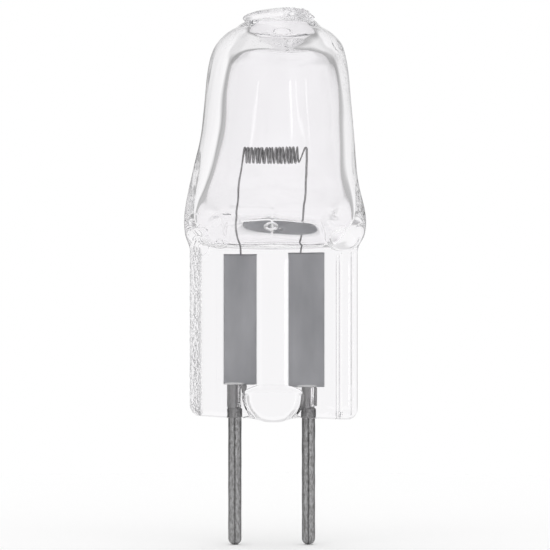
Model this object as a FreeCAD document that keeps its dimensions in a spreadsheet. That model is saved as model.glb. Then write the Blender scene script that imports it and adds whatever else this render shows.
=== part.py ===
import FreeCAD, Part
import math
import os
import Sketcher

# Halogen capsule bulb with two pins
#
# A quartz tube is pinched flat at its lower end over two strips of molybdenum foil.
# Each foil carries current through the seal, from a stiff outer pin to a thin filament leg.
# The frame stands upright: Z runs up the bulb, X runs from pin to pin, the foils show from -Y.
# The origin lies midway between the pins, level with the lowest point of the seal's boss.

SIZES = [
    # Pins: a two-pin base with its pins 4 mm apart
    ("pin_spacing", 4.0),
    ("pin_diameter", 0.72),
    ("pin_reach", 6.7),
    ("pin_seal_depth", 3.6),
    ("pin_tip_round", 0.17),
    ("pin_clearance", 0.015),
    # Foils: both lie in one plane, in front of the pins and legs that are welded to their backs
    ("weld_gap", 0.005),
    ("foil_thickness", 0.03),
    ("foil_feather", 0.25),
    ("foil_edge_thickness", 0.01),
    ("foil_left_width", 1.80),
    ("foil_left_offset", 0.30),
    ("foil_left_cover_below", 2.00),
    ("foil_left_cover_above", 0.89),
    ("foil_right_width", 1.97),
    ("foil_right_offset", -0.13),
    ("foil_right_cover_below", 1.88),
    ("foil_right_cover_above", 0.79),
    # Filament: one tungsten wire, a single coil with a leg at each end
    ("wire_diameter", 0.10),
    ("coil_diameter", 1.0),
    ("coil_pitch", 0.19),
    ("coil_turns", 15),
    ("coil_centre", -0.10),
    ("coil_rise", 4.57),
    ("leg_left_offset", -0.02),
    ("leg_right_offset", -0.30),
    ("leg_right_knee", 0.12),
    ("leg_stub", 0.45),
    ("leg_bend", 1.2),
    ("leg_overlap", 1.0),
    ("leg_clearance", 0.015),
    ("tail_run", 0.38),
    ("tail_top", 0.17),
    ("tail_bend", 0.075),
    # Bulb: each level lies a rise above the one below it, from the root in the pinch to the crown
    ("root_height", 9.55),
    ("root_half_width", 4.60),
    ("root_half_depth", 1.42),
    ("root_shift", 0.14),
    ("shoulder_rise", 1.35),
    ("shoulder_half_width", 4.95),
    ("shoulder_half_depth", 2.55),
    ("shoulder_shift", 0.18),
    ("swell_rise", 2.0),
    ("swell_half_width", 4.60),
    ("swell_half_depth", 3.30),
    ("swell_shift", 0.15),
    ("flare_rise", 2.2),
    ("flare_half_width", 4.23),
    ("flare_half_depth", 3.70),
    ("flare_shift", 0.29),
    ("tube_rise", 2.6),
    ("tube_radius", 3.97),
    ("tube_shift", 0.34),
    ("crown_rise", 1.42),
    ("crown_radius", 3.78),
    ("crown_shift", 0.38),
    ("dome_round", 2.6),
    # Gas space inside the bulb
    ("wall", 0.82),
    ("cavity_lean", 0.16),
    ("crown_wall", 1.37),
    ("ceiling_round", 0.85),
    ("floor_drop", 0.95),
    ("floor_half_width", 3.45),
    ("floor_half_depth", 0.55),
    # Exhaust tube: its closed bore above the ceiling and the melted tip on the dome
    ("bore_mouth_radius", 2.1),
    ("bore_radius", 1.55),
    ("bore_taper", 0.70),
    ("bore_length", 0.50),
    ("tip_shift", 0.40),
    ("tip_radius", 1.95),
    ("tip_top_radius", 1.75),
    ("tip_rise", 0.63),
    ("tip_tilt", 4.5),
    # Pinch seal: a plate with a thinner panel between its rails, and a boss cut level under the foils
    ("pinch_width", 9.06),
    ("pinch_shift", 0.11),
    ("pinch_left_bottom", 0.25),
    ("pinch_right_bottom", 0.09),
    ("pinch_corner", 0.6),
    ("pinch_thickness", 2.6),
    ("rail_thickness", 3.1),
    ("rail_left_width", 0.56),
    ("rail_right_width", 1.02),
    ("boss_radius", 1.50),
    ("boss_centre", 0.08),
    ("boss_height", 1.50),
    ("boss_cut", 0.47),
    ("boss_thickness", 3.0),
]

# Places that follow from the sizes
ROOT = "sizes.root_height"
SHOULDER = f"({ROOT} + sizes.shoulder_rise)"
SWELL = f"({SHOULDER} + sizes.swell_rise)"
FLARE = f"({SWELL} + sizes.flare_rise)"
TUBE = f"({FLARE} + sizes.tube_rise)"
CROWN = f"({TUBE} + sizes.crown_rise)"
DOME_TOP = f"({CROWN} + sizes.dome_round)"
CEILING = f"({DOME_TOP} - sizes.crown_wall)"
FLOOR = f"({SHOULDER} - sizes.floor_drop)"
COIL = f"({FLOOR} + sizes.coil_rise)"
LEG_ENTRY = f"({FLOOR} + sizes.leg_stub)"
OVAL_LEVELS = {"flare": FLARE, "swell": SWELL, "shoulder": SHOULDER, "root": ROOT}
PIN_PLACE = {"left": "(-sizes.pin_spacing / 2)", "right": "(sizes.pin_spacing / 2)"}
FOIL_PLACE = {side: f"({PIN_PLACE[side]} + sizes.foil_{side}_offset)" for side in PIN_PLACE}
FOIL_TOP = {side: f"({FLOOR} - sizes.foil_{side}_cover_above)" for side in PIN_PLACE}
LEG_PLACE = {side: f"({FOIL_PLACE[side]} + sizes.leg_{side}_offset)" for side in PIN_PLACE}
LEG_FOOT = {side: f"({FOIL_TOP[side]} - sizes.leg_overlap)" for side in PIN_PLACE}
FOIL_LENGTH = {side: f"({FOIL_TOP[side]} - sizes.foil_{side}_cover_below)" for side in PIN_PLACE}
FOIL_DEPTH = "(-(sizes.pin_diameter / 2 + sizes.weld_gap + sizes.foil_thickness / 2))"
LEG_DEPTH = "(-(sizes.pin_diameter / 2 - sizes.wire_diameter / 2))"
PINCH_LEFT = "(sizes.pinch_shift - sizes.pinch_width / 2)"
PINCH_RIGHT = "(sizes.pinch_shift + sizes.pinch_width / 2)"


def fill_sheet(doc):
    """Write every driving size to the sheet, each in a cell named after it."""
    sheet = doc.addObject("Spreadsheet::Sheet", "sizes")
    for row, (alias, value) in enumerate(SIZES, 1):
        sheet.set(f"A{row}", alias)
        sheet.set(f"B{row}", str(value))
        sheet.setAlias(f"B{row}", alias)
    doc.recompute()
    return sheet


def measure(doc, formula):
    """Return the number that a formula of sizes comes to."""
    return float(doc.getObject("sizes").evalExpression(formula.replace("sizes.", "")))


def origin_plane(body, role):
    """Return the body's own origin plane with this role."""
    for feature in body.Origin.OriginFeatures:
        if feature.Role == role:
            return feature
    raise ValueError(role)


def new_sketch(body, name, role, across="0", along="0", above="0"):
    """Put an empty sketch on an origin plane, moved to a place given by formulas."""
    sketch = body.newObject("Sketcher::SketchObject", name)
    sketch.AttachmentSupport = [(origin_plane(body, role), "")]
    sketch.MapMode = "FlatFace"
    sketch.setExpression("AttachmentOffset.Base.x", across)
    sketch.setExpression("AttachmentOffset.Base.y", along)
    sketch.setExpression("AttachmentOffset.Base.z", above)
    return sketch


def bind(sketch, constraint, formula):
    """Add one dimension to a sketch and tie it to a formula."""
    index = sketch.addConstraint(constraint)
    sketch.setExpression(f"Constraints[{index}]", formula)


def draw_circle(sketch, radius):
    """Draw a circle round the sketch's origin."""
    sketch.addGeometry(Part.Circle(FreeCAD.Vector(0, 0, 0), FreeCAD.Vector(0, 0, 1), 1.0))
    sketch.addConstraint(Sketcher.Constraint("Coincident", 0, 3, -1, 1))
    bind(sketch, Sketcher.Constraint("Radius", 0, 1.0), radius)


def draw_oval(sketch, half_width, half_depth):
    """Draw an ellipse round the sketch's origin, its long axis along the sketch's X."""
    wide = measure(sketch.Document, half_width)
    deep = measure(sketch.Document, half_depth)
    sketch.addGeometry(Part.Ellipse(FreeCAD.Vector(wide, 0, 0), FreeCAD.Vector(0, deep, 0),
                                    FreeCAD.Vector(0, 0, 0)))
    sketch.exposeInternalGeometry(0)
    sketch.addConstraint(Sketcher.Constraint("Coincident", 0, 3, -1, 1))
    sketch.addConstraint(Sketcher.Constraint("PointOnObject", 1, 1, -1))
    bind(sketch, Sketcher.Constraint("Distance", 1, 1, 1, 2, 2 * wide), f"2 * ({half_width})")
    bind(sketch, Sketcher.Constraint("Distance", 2, 1, 2, 2, 2 * deep), f"2 * ({half_depth})")


def draw_outline(sketch, corners):
    """Draw a closed outline of straight lines; each corner is a pair of formulas."""
    points = []
    for across, along in corners:
        x = measure(sketch.Document, across)
        y = measure(sketch.Document, along)
        points.append(FreeCAD.Vector(x, y, 0))
    count = len(points)
    for index in range(count):
        sketch.addGeometry(Part.LineSegment(points[index], points[(index + 1) % count]))
    for index in range(count):
        sketch.addConstraint(Sketcher.Constraint("Coincident", index, 2, (index + 1) % count, 1))
    for index, (across, along) in enumerate(corners):
        bind(sketch, Sketcher.Constraint("DistanceX", -1, 1, index, 1, points[index].x), across)
        bind(sketch, Sketcher.Constraint("DistanceY", -1, 1, index, 1, points[index].y), along)


def draw_cut_circle(sketch, radius, cut):
    """Draw a circle round the sketch's origin, cut level at a height above its centre."""
    reach = measure(sketch.Document, radius)
    level = measure(sketch.Document, cut)
    angle = math.asin(level / reach)
    circle = Part.Circle(FreeCAD.Vector(0, 0, 0), FreeCAD.Vector(0, 0, 1), reach)
    sketch.addGeometry(Part.ArcOfCircle(circle, math.pi - angle, 2 * math.pi + angle))
    side = reach * math.cos(angle)
    sketch.addGeometry(Part.LineSegment(FreeCAD.Vector(side, level, 0), FreeCAD.Vector(-side, level, 0)))
    sketch.addConstraint(Sketcher.Constraint("Coincident", 0, 3, -1, 1))
    sketch.addConstraint(Sketcher.Constraint("Coincident", 0, 2, 1, 1))
    sketch.addConstraint(Sketcher.Constraint("Coincident", 1, 2, 0, 1))
    sketch.addConstraint(Sketcher.Constraint("Horizontal", 1))
    bind(sketch, Sketcher.Constraint("Radius", 0, reach), radius)
    bind(sketch, Sketcher.Constraint("DistanceY", -1, 1, 1, 1, level), cut)


def draw_dome(sketch, radius, top, rounding):
    """Draw half of a dome's upright section: a level base, a round shoulder and a level top."""
    reach = measure(sketch.Document, radius)
    high = measure(sketch.Document, top)
    bend = measure(sketch.Document, rounding)
    base_middle = FreeCAD.Vector(0, high - bend, 0)
    base_end = FreeCAD.Vector(reach, high - bend, 0)
    centre = FreeCAD.Vector(reach - bend, high - bend, 0)
    top_end = FreeCAD.Vector(reach - bend, high, 0)
    top_middle = FreeCAD.Vector(0, high, 0)
    circle = Part.Circle(centre, FreeCAD.Vector(0, 0, 1), bend)
    sketch.addGeometry(Part.LineSegment(base_middle, base_end))
    sketch.addGeometry(Part.ArcOfCircle(circle, 0, math.pi / 2))
    sketch.addGeometry(Part.LineSegment(top_end, top_middle))
    sketch.addGeometry(Part.LineSegment(top_middle, base_middle))
    for first, second in ((0, 1), (1, 2), (2, 3), (3, 0)):
        sketch.addConstraint(Sketcher.Constraint("Coincident", first, 2, second, 1))
    sketch.addConstraint(Sketcher.Constraint("PointOnObject", 0, 1, -2))
    sketch.addConstraint(Sketcher.Constraint("PointOnObject", 2, 2, -2))
    sketch.addConstraint(Sketcher.Constraint("Horizontal", 0))
    sketch.addConstraint(Sketcher.Constraint("PointOnObject", 1, 3, 0))
    sketch.addConstraint(Sketcher.Constraint("Vertical", 1, 3, 1, 2))
    sketch.addConstraint(Sketcher.Constraint("Horizontal", 2))
    bind(sketch, Sketcher.Constraint("DistanceX", -1, 1, 0, 2, reach), radius)
    bind(sketch, Sketcher.Constraint("DistanceY", -1, 1, 2, 2, high), top)
    bind(sketch, Sketcher.Constraint("Radius", 1, bend), rounding)


def turn_profile(body, kind, name, profile):
    """Turn an upright profile once round its own vertical axis, to add or to cut."""
    turned = body.newObject(f"PartDesign::{kind}", name)
    turned.Profile = profile
    turned.ReferenceAxis = (profile, ["V_Axis"])
    turned.Angle = 360
    body.Document.recompute()
    return turned


def add_round_level(body, name, height, radius, shift):
    """Draw one round level of a loft at a height, moved sideways by its shift."""
    sketch = new_sketch(body, name, "XY_Plane", across=shift, above=height)
    draw_circle(sketch, radius)
    return sketch


def add_oval_level(body, name, height, half_width, half_depth, shift):
    """Draw one oval level of a loft at a height, moved sideways by its shift."""
    sketch = new_sketch(body, name, "XY_Plane", across=shift, above=height)
    draw_oval(sketch, half_width, half_depth)
    return sketch


def add_loft(body, kind, name, levels):
    """Run a smooth loft through levels, to add or to cut."""
    loft = body.newObject(f"PartDesign::{kind}", name)
    loft.Profile = levels[0]
    loft.Sections = levels[1:]
    body.Document.recompute()
    return loft


def pad_both_ways(body, name, sketch, thickness):
    """Pad a sketch by half of a thickness to each side."""
    pad = body.newObject("PartDesign::Pad", name)
    pad.Profile = sketch
    pad.SideType = "Symmetric"
    pad.setExpression("Length", thickness)
    body.Document.recompute()
    return pad


def cut_upwards(body, name, sketch, length):
    """Cut a level sketch upwards through the body by a length."""
    pocket = body.newObject("PartDesign::Pocket", name)
    pocket.Profile = sketch
    pocket.Reversed = True
    pocket.setExpression("Length", length)
    body.Document.recompute()
    return pocket


def round_edges(body, name, base, chosen, radius):
    """Round those edges of a feature for whose box the test holds."""
    edges = []
    for index, edge in enumerate(base.Shape.Edges, 1):
        if chosen(edge.BoundBox):
            edges.append(f"Edge{index}")
    fillet = body.newObject("PartDesign::Fillet", name)
    fillet.Base = (base, edges)
    fillet.setExpression("Radius", radius)
    body.Document.recompute()
    return fillet


def add_pinch(body):
    """Press the seal: a plate as thick as its side rails, a thinner panel between them, a boss."""
    doc = body.Document
    outline = new_sketch(body, "pinch_outline", "XZ_Plane")
    draw_outline(outline, [(PINCH_LEFT, "sizes.pinch_left_bottom"), (PINCH_RIGHT, "sizes.pinch_right_bottom"),
                           (PINCH_RIGHT, ROOT), (PINCH_LEFT, ROOT)])
    plate = pad_both_ways(body, "pinch", outline, "sizes.rail_thickness")
    middle = measure(doc, ROOT) / 2
    round_edges(body, "lower_corners", plate,
                lambda box: box.ZLength < 0.001 and box.XLength < 0.001 and box.ZMax < middle,
                "sizes.pinch_corner")
    inner_left = f"{PINCH_LEFT} + sizes.rail_left_width"
    inner_right = f"{PINCH_RIGHT} - sizes.rail_right_width"
    below = "sizes.pinch_right_bottom - sizes.rail_thickness"
    for name, face, outwards in (("front_panel", "sizes.pinch_thickness / 2", True),
                                 ("rear_panel", "-sizes.pinch_thickness / 2", False)):
        panel = new_sketch(body, f"{name}_outline", "XZ_Plane", above=face)
        draw_outline(panel, [(inner_left, below), (inner_right, below), (inner_right, ROOT), (inner_left, ROOT)])
        pocket = body.newObject("PartDesign::Pocket", name)
        pocket.Profile = panel
        pocket.Reversed = outwards
        pocket.setExpression("Length", "sizes.rail_thickness")
        doc.recompute()
    boss = new_sketch(body, "boss_outline", "XZ_Plane", "sizes.boss_centre", "sizes.boss_height")
    draw_cut_circle(boss, "sizes.boss_radius", "sizes.boss_cut")
    pad_both_ways(body, "boss", boss, "sizes.boss_thickness")


def add_bulb(body):
    """Blow the bulb: levels from the round crown down to the flat root, and a dome on top."""
    levels = [add_round_level(body, "crown_level", CROWN, "sizes.crown_radius", "sizes.crown_shift"),
              add_round_level(body, "tube_level", TUBE, "sizes.tube_radius", "sizes.tube_shift")]
    for name, height in OVAL_LEVELS.items():
        levels.append(add_oval_level(body, f"{name}_level", height, f"sizes.{name}_half_width",
                                     f"sizes.{name}_half_depth", f"sizes.{name}_shift"))
    add_loft(body, "AdditiveLoft", "bulb", levels)
    profile = new_sketch(body, "dome_profile", "XZ_Plane", "sizes.crown_shift")
    draw_dome(profile, "sizes.crown_radius", DOME_TOP, "sizes.dome_round")
    turn_profile(body, "Revolution", "dome", profile)


def add_exhaust_tip(body):
    """Melt the exhaust tube shut: a short stub on the dome, with a tilted end."""
    foot = new_sketch(body, "tip_foot", "XY_Plane", "sizes.tip_shift", "0", f"{DOME_TOP} - sizes.wall")
    draw_circle(foot, "sizes.tip_radius")
    head = new_sketch(body, "tip_head", "XY_Plane", "sizes.tip_shift", "0", f"{DOME_TOP} + sizes.tip_rise")
    tilt = FreeCAD.Rotation(FreeCAD.Vector(0, -1, 0), measure(body.Document, "sizes.tip_tilt"))
    head.AttachmentOffset = FreeCAD.Placement(FreeCAD.Vector(), tilt)
    head.setExpression("AttachmentOffset.Rotation.Angle", "sizes.tip_tilt * 1 deg")
    draw_circle(head, "sizes.tip_top_radius")
    add_loft(body, "AdditiveLoft", "exhaust_tip", [foot, head])


def cut_gas_space(body):
    """Hollow the bulb, with the exhaust tube's closed bore above the ceiling."""
    axis = "sizes.crown_shift + sizes.cavity_lean"
    radius = "sizes.crown_radius - sizes.wall"
    levels = [add_round_level(body, "crown_inner_level", f"{CEILING} - sizes.ceiling_round", radius, axis),
              add_round_level(body, "tube_inner_level", TUBE, "sizes.tube_radius - sizes.wall",
                              "sizes.tube_shift + sizes.cavity_lean")]
    for name in ("flare", "swell", "shoulder"):
        height = OVAL_LEVELS[name]
        share = f"({height} - {SHOULDER}) / ({TUBE} - {SHOULDER})"
        levels.append(add_oval_level(body, f"{name}_inner_level", height,
                                     f"sizes.{name}_half_width - sizes.wall",
                                     f"sizes.{name}_half_depth - sizes.wall",
                                     f"sizes.{name}_shift + sizes.cavity_lean * {share}"))
    levels.append(add_oval_level(body, "floor_level", FLOOR, "sizes.floor_half_width",
                                 "sizes.floor_half_depth", "sizes.shoulder_shift"))
    add_loft(body, "SubtractiveLoft", "gas_space", levels)
    ceiling = new_sketch(body, "ceiling_profile", "XZ_Plane", axis)
    draw_dome(ceiling, radius, CEILING, "sizes.ceiling_round")
    turn_profile(body, "Groove", "ceiling", ceiling)
    bore = new_sketch(body, "bore_profile", "XZ_Plane", axis)
    below = f"{CEILING} - sizes.ceiling_round"
    neck = f"{CEILING} + sizes.bore_taper"
    closed_end = f"{neck} + sizes.bore_length"
    draw_outline(bore, [("0", below), ("sizes.bore_mouth_radius", below),
                        ("sizes.bore_mouth_radius", CEILING), ("sizes.bore_radius", neck),
                        ("sizes.bore_radius", closed_end), ("0", closed_end)])
    turn_profile(body, "Groove", "exhaust_bore", bore)


def foil_section(side):
    """Return a foil's corners seen from above: flat faces with feathered long edges."""
    half = f"sizes.foil_{side}_width / 2"
    flat = f"({half} - sizes.foil_feather)"
    corners = []
    for sideways, forward, outer_first in ((-1, -1, True), (1, -1, False), (1, 1, True), (-1, 1, False)):
        outer = (f"{FOIL_PLACE[side]} + {sideways} * {half}",
                 f"{FOIL_DEPTH} + {forward} * sizes.foil_edge_thickness / 2")
        inner = (f"{FOIL_PLACE[side]} + {sideways} * {flat}",
                 f"{FOIL_DEPTH} + {forward} * sizes.foil_thickness / 2")
        corners.extend([outer, inner] if outer_first else [inner, outer])
    return corners


def draw_foil(body, name, side):
    """Draw a foil's section at the height of its lower edge."""
    sketch = new_sketch(body, name, "XY_Plane", above=f"sizes.foil_{side}_cover_below")
    draw_outline(sketch, foil_section(side))
    return sketch


def cut_seats(body):
    """Cut what the quartz closed round: two pins, two foils and two filament legs."""
    for side in PIN_PLACE:
        hole = new_sketch(body, f"{side}_pin_hole", "XY_Plane", PIN_PLACE[side], "0", "-sizes.pin_reach")
        draw_circle(hole, "sizes.pin_diameter / 2 + sizes.pin_clearance")
        cut_upwards(body, f"{side}_pin_seat", hole,
                    "sizes.pin_reach + sizes.pin_seal_depth + sizes.pin_clearance")
        slot = draw_foil(body, f"{side}_foil_slot", side)
        cut_upwards(body, f"{side}_foil_seat", slot, FOIL_LENGTH[side])
        start = f"{LEG_FOOT[side]} - sizes.leg_clearance"
        hole = new_sketch(body, f"{side}_leg_hole", "XY_Plane", LEG_PLACE[side], LEG_DEPTH, start)
        draw_circle(hole, "sizes.wire_diameter / 2 + sizes.leg_clearance")
        cut_upwards(body, f"{side}_leg_seat", hole, f"{LEG_ENTRY} - ({start})")


def build_envelope(doc):
    """Build the quartz envelope: bulb, pinch seal and exhaust tip are one piece."""
    body = doc.addObject("PartDesign::Body", "envelope")
    add_pinch(body)
    add_bulb(body)
    add_exhaust_tip(body)
    cut_gas_space(body)
    cut_seats(body)
    return body


def build_pin(doc, side):
    """Make one stiff outer pin: a free end below the seal and a shank that the seal grips."""
    body = doc.addObject("PartDesign::Body", f"pin_{side}")
    section = new_sketch(body, f"pin_{side}_section", "XY_Plane", PIN_PLACE[side])
    draw_circle(section, "sizes.pin_diameter / 2")
    for name, downwards, length in (("free_end", True, "sizes.pin_reach"),
                                    ("shank", False, "sizes.pin_seal_depth")):
        pad = body.newObject("PartDesign::Pad", f"pin_{side}_{name}")
        pad.Profile = section
        pad.Reversed = downwards
        pad.Refine = False
        pad.setExpression("Length", length)
        doc.recompute()
    tip = round_edges(body, f"pin_{side}_tip", pad, lambda box: box.ZMax < -0.01 and box.ZLength < 0.01,
                      "sizes.pin_tip_round")
    tip.Refine = False
    return body


def build_foil(doc, side):
    """Roll one foil strip, thin at its long edges so that the quartz seals on it."""
    body = doc.addObject("PartDesign::Body", f"foil_{side}")
    sketch = draw_foil(body, f"foil_{side}_section", side)
    strip = body.newObject("PartDesign::Pad", f"foil_{side}_strip")
    strip.Profile = sketch
    strip.setExpression("Length", FOIL_LENGTH[side])
    doc.recompute()
    return body


def straight(start, end):
    """Return a straight edge."""
    return Part.LineSegment(start, end).toShape()


def bent_path(points, radii):
    """Join points by straight runs, with a tangent arc at each point between the ends."""
    edges = []
    start = points[0]
    for index in range(1, len(points) - 1):
        corner = points[index]
        radius = radii[index - 1]
        arriving = (corner - points[index - 1]).normalize()
        leaving = (points[index + 1] - corner).normalize()
        half_turn = arriving.getAngle(leaving) / 2
        arc_start = corner - arriving * radius * math.tan(half_turn)
        arc_end = corner + leaving * radius * math.tan(half_turn)
        towards_centre = (leaving - arriving).normalize()
        middle = corner + towards_centre * radius * (1 / math.cos(half_turn) - 1)
        edges.append(straight(start, arc_start))
        edges.append(Part.Arc(arc_start, middle, arc_end).toShape())
        start = arc_end
    edges.append(straight(start, points[-1]))
    return edges


def coil_lead(sheet):
    """Return how far the coil's wire moves sideways for each unit that it runs round."""
    return sheet.coil_pitch / (math.pi * (sheet.coil_diameter - sheet.wire_diameter))


def leg_points(doc, side):
    """Return a leg's foot behind its foil and its entry into the gas space."""
    place = measure(doc, LEG_PLACE[side])
    depth = measure(doc, LEG_DEPTH)
    foot = FreeCAD.Vector(place, depth, measure(doc, LEG_FOOT[side]))
    entry = FreeCAD.Vector(place, depth, measure(doc, LEG_ENTRY))
    return foot, entry


def left_leg_path(doc, sheet, coil_start):
    """Run the left leg up from behind its foil to the coil's front."""
    foot, entry = leg_points(doc, "left")
    lead_in = coil_start - FreeCAD.Vector(coil_lead(sheet), 0, 1) * sheet.coil_diameter / 2
    return bent_path([foot, entry, lead_in, coil_start], [sheet.leg_bend, sheet.leg_bend])


def right_leg_path(doc, sheet, coil_end):
    """Run the tail from under the coil up in a sharp bend, then down behind the right foil."""
    foot, entry = leg_points(doc, "right")
    radius = (sheet.coil_diameter - sheet.wire_diameter) / 2
    depth = entry.y
    under = coil_end + FreeCAD.Vector(coil_lead(sheet), -1, 0) * radius
    rise_end = FreeCAD.Vector(coil_end.x + sheet.tail_run, depth, coil_end.z + 2 * radius)
    top_end = rise_end + FreeCAD.Vector(sheet.tail_top, 0, 0)
    knee = FreeCAD.Vector(entry.x + sheet.leg_right_knee, depth, (entry.z + coil_end.z) / 2)
    radii = [radius / 2, sheet.tail_bend, sheet.tail_bend, sheet.leg_bend, sheet.leg_bend]
    return bent_path([coil_end, under, rise_end, top_end, knee, entry, foot], radii)


def build_filament(doc, sheet):
    """Wind the filament from one wire: a leg up to the coil, the coil, and a tail down again."""
    radius = (sheet.coil_diameter - sheet.wire_diameter) / 2
    length = (sheet.coil_turns + 0.75) * sheet.coil_pitch
    height = measure(doc, COIL)
    coil_start = FreeCAD.Vector(sheet.coil_centre - length / 2, -radius, height)
    coil_end = FreeCAD.Vector(sheet.coil_centre + length / 2, 0, height - radius)
    coil = Part.makeHelix(sheet.coil_pitch, length, radius, 0, True)
    lay_along_x = FreeCAD.Rotation(FreeCAD.Vector(0, 1, 0), 90)
    start_in_front = FreeCAD.Rotation(FreeCAD.Vector(1, 0, 0), -90)
    coil.Placement = FreeCAD.Placement(FreeCAD.Vector(coil_start.x, 0, height), start_in_front * lay_along_x)
    edges = left_leg_path(doc, sheet, coil_start) + coil.Edges + right_leg_path(doc, sheet, coil_end)
    path = Part.Wire(edges)
    first = edges[0]
    start = first.valueAt(first.FirstParameter)
    circle = Part.makeCircle(sheet.wire_diameter / 2, start, first.tangentAt(first.FirstParameter))
    sweep = Part.BRepOffsetAPI.MakePipeShell(path)
    sweep.setTransitionMode(1)
    sweep.add(Part.Wire([circle]))
    sweep.build()
    sweep.makeSolid()
    filament = doc.addObject("Part::Feature", "filament")
    filament.Shape = sweep.shape()
    filament.Placement = FreeCAD.Placement()
    expected = path.Length * math.pi * sheet.wire_diameter ** 2 / 4
    print("filament volume", round(filament.Shape.Volume, 5), "of", round(expected, 5))
    return filament


def main():
    """Build every sub-part, check each one and write its file."""
    doc = FreeCAD.newDocument("halogen_capsule_bulb")
    sheet = fill_sheet(doc)
    parts = [build_envelope(doc), build_filament(doc, sheet)]
    for side in PIN_PLACE:
        parts.append(build_foil(doc, side))
        parts.append(build_pin(doc, side))
    for part in parts:
        part.Label = part.Name
    doc.recompute()
    for item in doc.Objects:
        if "Invalid" in item.State or "Error" in item.State:
            raise RuntimeError(f"{item.Name} failed to build")
    for part in parts:
        if part.Shape.isNull() or not part.Shape.isValid():
            raise RuntimeError(f"{part.Label} has no valid shape")
    os.makedirs("parts", exist_ok=True)
    for part in parts:
        part.Shape.exportStep(f"parts/{part.Label}.step")
        box = part.Shape.optimalBoundingBox(False)
        print(part.Label, "solids", len(part.Shape.Solids), "volume", round(part.Shape.Volume, 4),
              "X", round(box.XMin, 3), round(box.XMax, 3), "Y", round(box.YMin, 3), round(box.YMax, 3),
              "Z", round(box.ZMin, 3), round(box.ZMax, 3))


main()
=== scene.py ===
# %% [markdown]
# The frame. The bulb was first drawn as solids in a drafting program, and those solids are the
# frame that everything here is fitted to. It stands upright in metres, with its origin between
# the two pins. Loading it first means that each new surface can be checked against a true size.

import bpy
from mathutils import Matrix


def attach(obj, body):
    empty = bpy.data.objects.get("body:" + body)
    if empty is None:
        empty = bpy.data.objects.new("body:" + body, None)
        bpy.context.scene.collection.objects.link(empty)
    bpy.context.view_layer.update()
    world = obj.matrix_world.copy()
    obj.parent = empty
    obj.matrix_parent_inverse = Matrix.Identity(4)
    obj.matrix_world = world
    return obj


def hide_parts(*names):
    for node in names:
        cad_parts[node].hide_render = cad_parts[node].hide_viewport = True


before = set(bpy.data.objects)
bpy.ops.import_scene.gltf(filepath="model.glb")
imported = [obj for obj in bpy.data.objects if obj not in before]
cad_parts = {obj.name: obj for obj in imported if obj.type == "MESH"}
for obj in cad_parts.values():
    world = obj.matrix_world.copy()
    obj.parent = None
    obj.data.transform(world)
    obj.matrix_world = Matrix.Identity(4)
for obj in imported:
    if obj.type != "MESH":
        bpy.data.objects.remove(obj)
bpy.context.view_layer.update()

# %% [markdown]
# The tools. Each new piece is a surface that numpy works out as one whole array of points, so a
# shape is a short formula and no loop visits single points. All sizes are written in millimetres,
# and one factor turns them into Blender's metres at the very end.

# %% Modules and the unit
import math

import bmesh
import bpy
import numpy as np

MM = 0.001
FULL_TURN = 2 * math.pi
print("one millimetre is", MM, "of Blender's units")


# %% Smooth steps and smooth curves
def soft_step(value, start, end):
    """Rise from 0 at start to 1 at end along 3t^2 - 2t^3, level on both sides."""
    t = np.clip((value - start) / (end - start), 0, 1)
    return t * t * (3 - 2 * t)


def smooth_step(value, start, end):
    """Rise from 0 at start to 1 at end along 6t^5 - 15t^4 + 10t^3, level and uncurved on both sides."""
    t = np.clip((value - start) / (end - start), 0, 1)
    return t ** 3 * (10 - 15 * t + 6 * t * t)


def soft_band(value, low, high, edge):
    """Be 1 between low and high and 0 outside, each side blended over the edge's width."""
    half = edge / 2
    return soft_step(value, low - half, low + half) * (1 - soft_step(value, high - half, high + half))


def smooth_curve(table, column, at):
    """Draw a natural cubic spline through one column of a table whose first column is the place.

    The second derivatives m solve the usual three-term equations, and each value is
    ((1 - t) y0 + t y1) plus step^2 / 6 times (((1 - t)^3 - (1 - t)) m0 + (t^3 - t) m1).
    """
    places, values = table[:, 0], table[:, column]
    step = np.diff(places)
    count = len(places)
    equations = np.eye(count)
    right_side = np.zeros(count)
    inner = np.arange(1, count - 1)
    equations[inner, inner - 1] = step[:-1]
    equations[inner, inner] = 2 * (step[:-1] + step[1:])
    equations[inner, inner + 1] = step[1:]
    rise = np.diff(values) / step
    right_side[inner] = 6 * (rise[1:] - rise[:-1])
    bend = np.linalg.solve(equations, right_side)
    low = np.clip(np.searchsorted(places, at) - 1, 0, count - 2)
    t = (at - places[low]) / step[low]
    cubic_low = ((1 - t) ** 3 - (1 - t)) * bend[low]
    cubic_high = (t ** 3 - t) * bend[low + 1]
    return (1 - t) * values[low] + t * values[low + 1] + step[low] ** 2 / 6 * (cubic_low + cubic_high)


print("half of a soft step:", float(soft_step(np.array(0.5), 0, 1)))


# %% Grids, normals and meshes
def grid_normals(points):
    """Return each grid point's unit normal: the cross product of the steps round and upwards."""
    round_step = np.roll(points, -1, axis=1) - np.roll(points, 1, axis=1)
    up_step = np.gradient(points, axis=0)
    normals = np.cross(round_step, up_step)
    length = np.linalg.norm(normals, axis=2, keepdims=True)
    return normals / np.maximum(length, 1e-9)


def skin_faces(rows, around, first=0, inwards=False):
    """Number the four-sided faces of a closed sleeve of points, given as rows from bottom to top."""
    row, place = np.meshgrid(np.arange(rows - 1), np.arange(around), indexing="ij")
    beside = (place + 1) % around
    corners = [row * around + place, row * around + beside,
               (row + 1) * around + beside, (row + 1) * around + place]
    faces = np.stack(corners, axis=-1).reshape(-1, 4) + first
    return faces[:, ::-1] if inwards else faces


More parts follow.
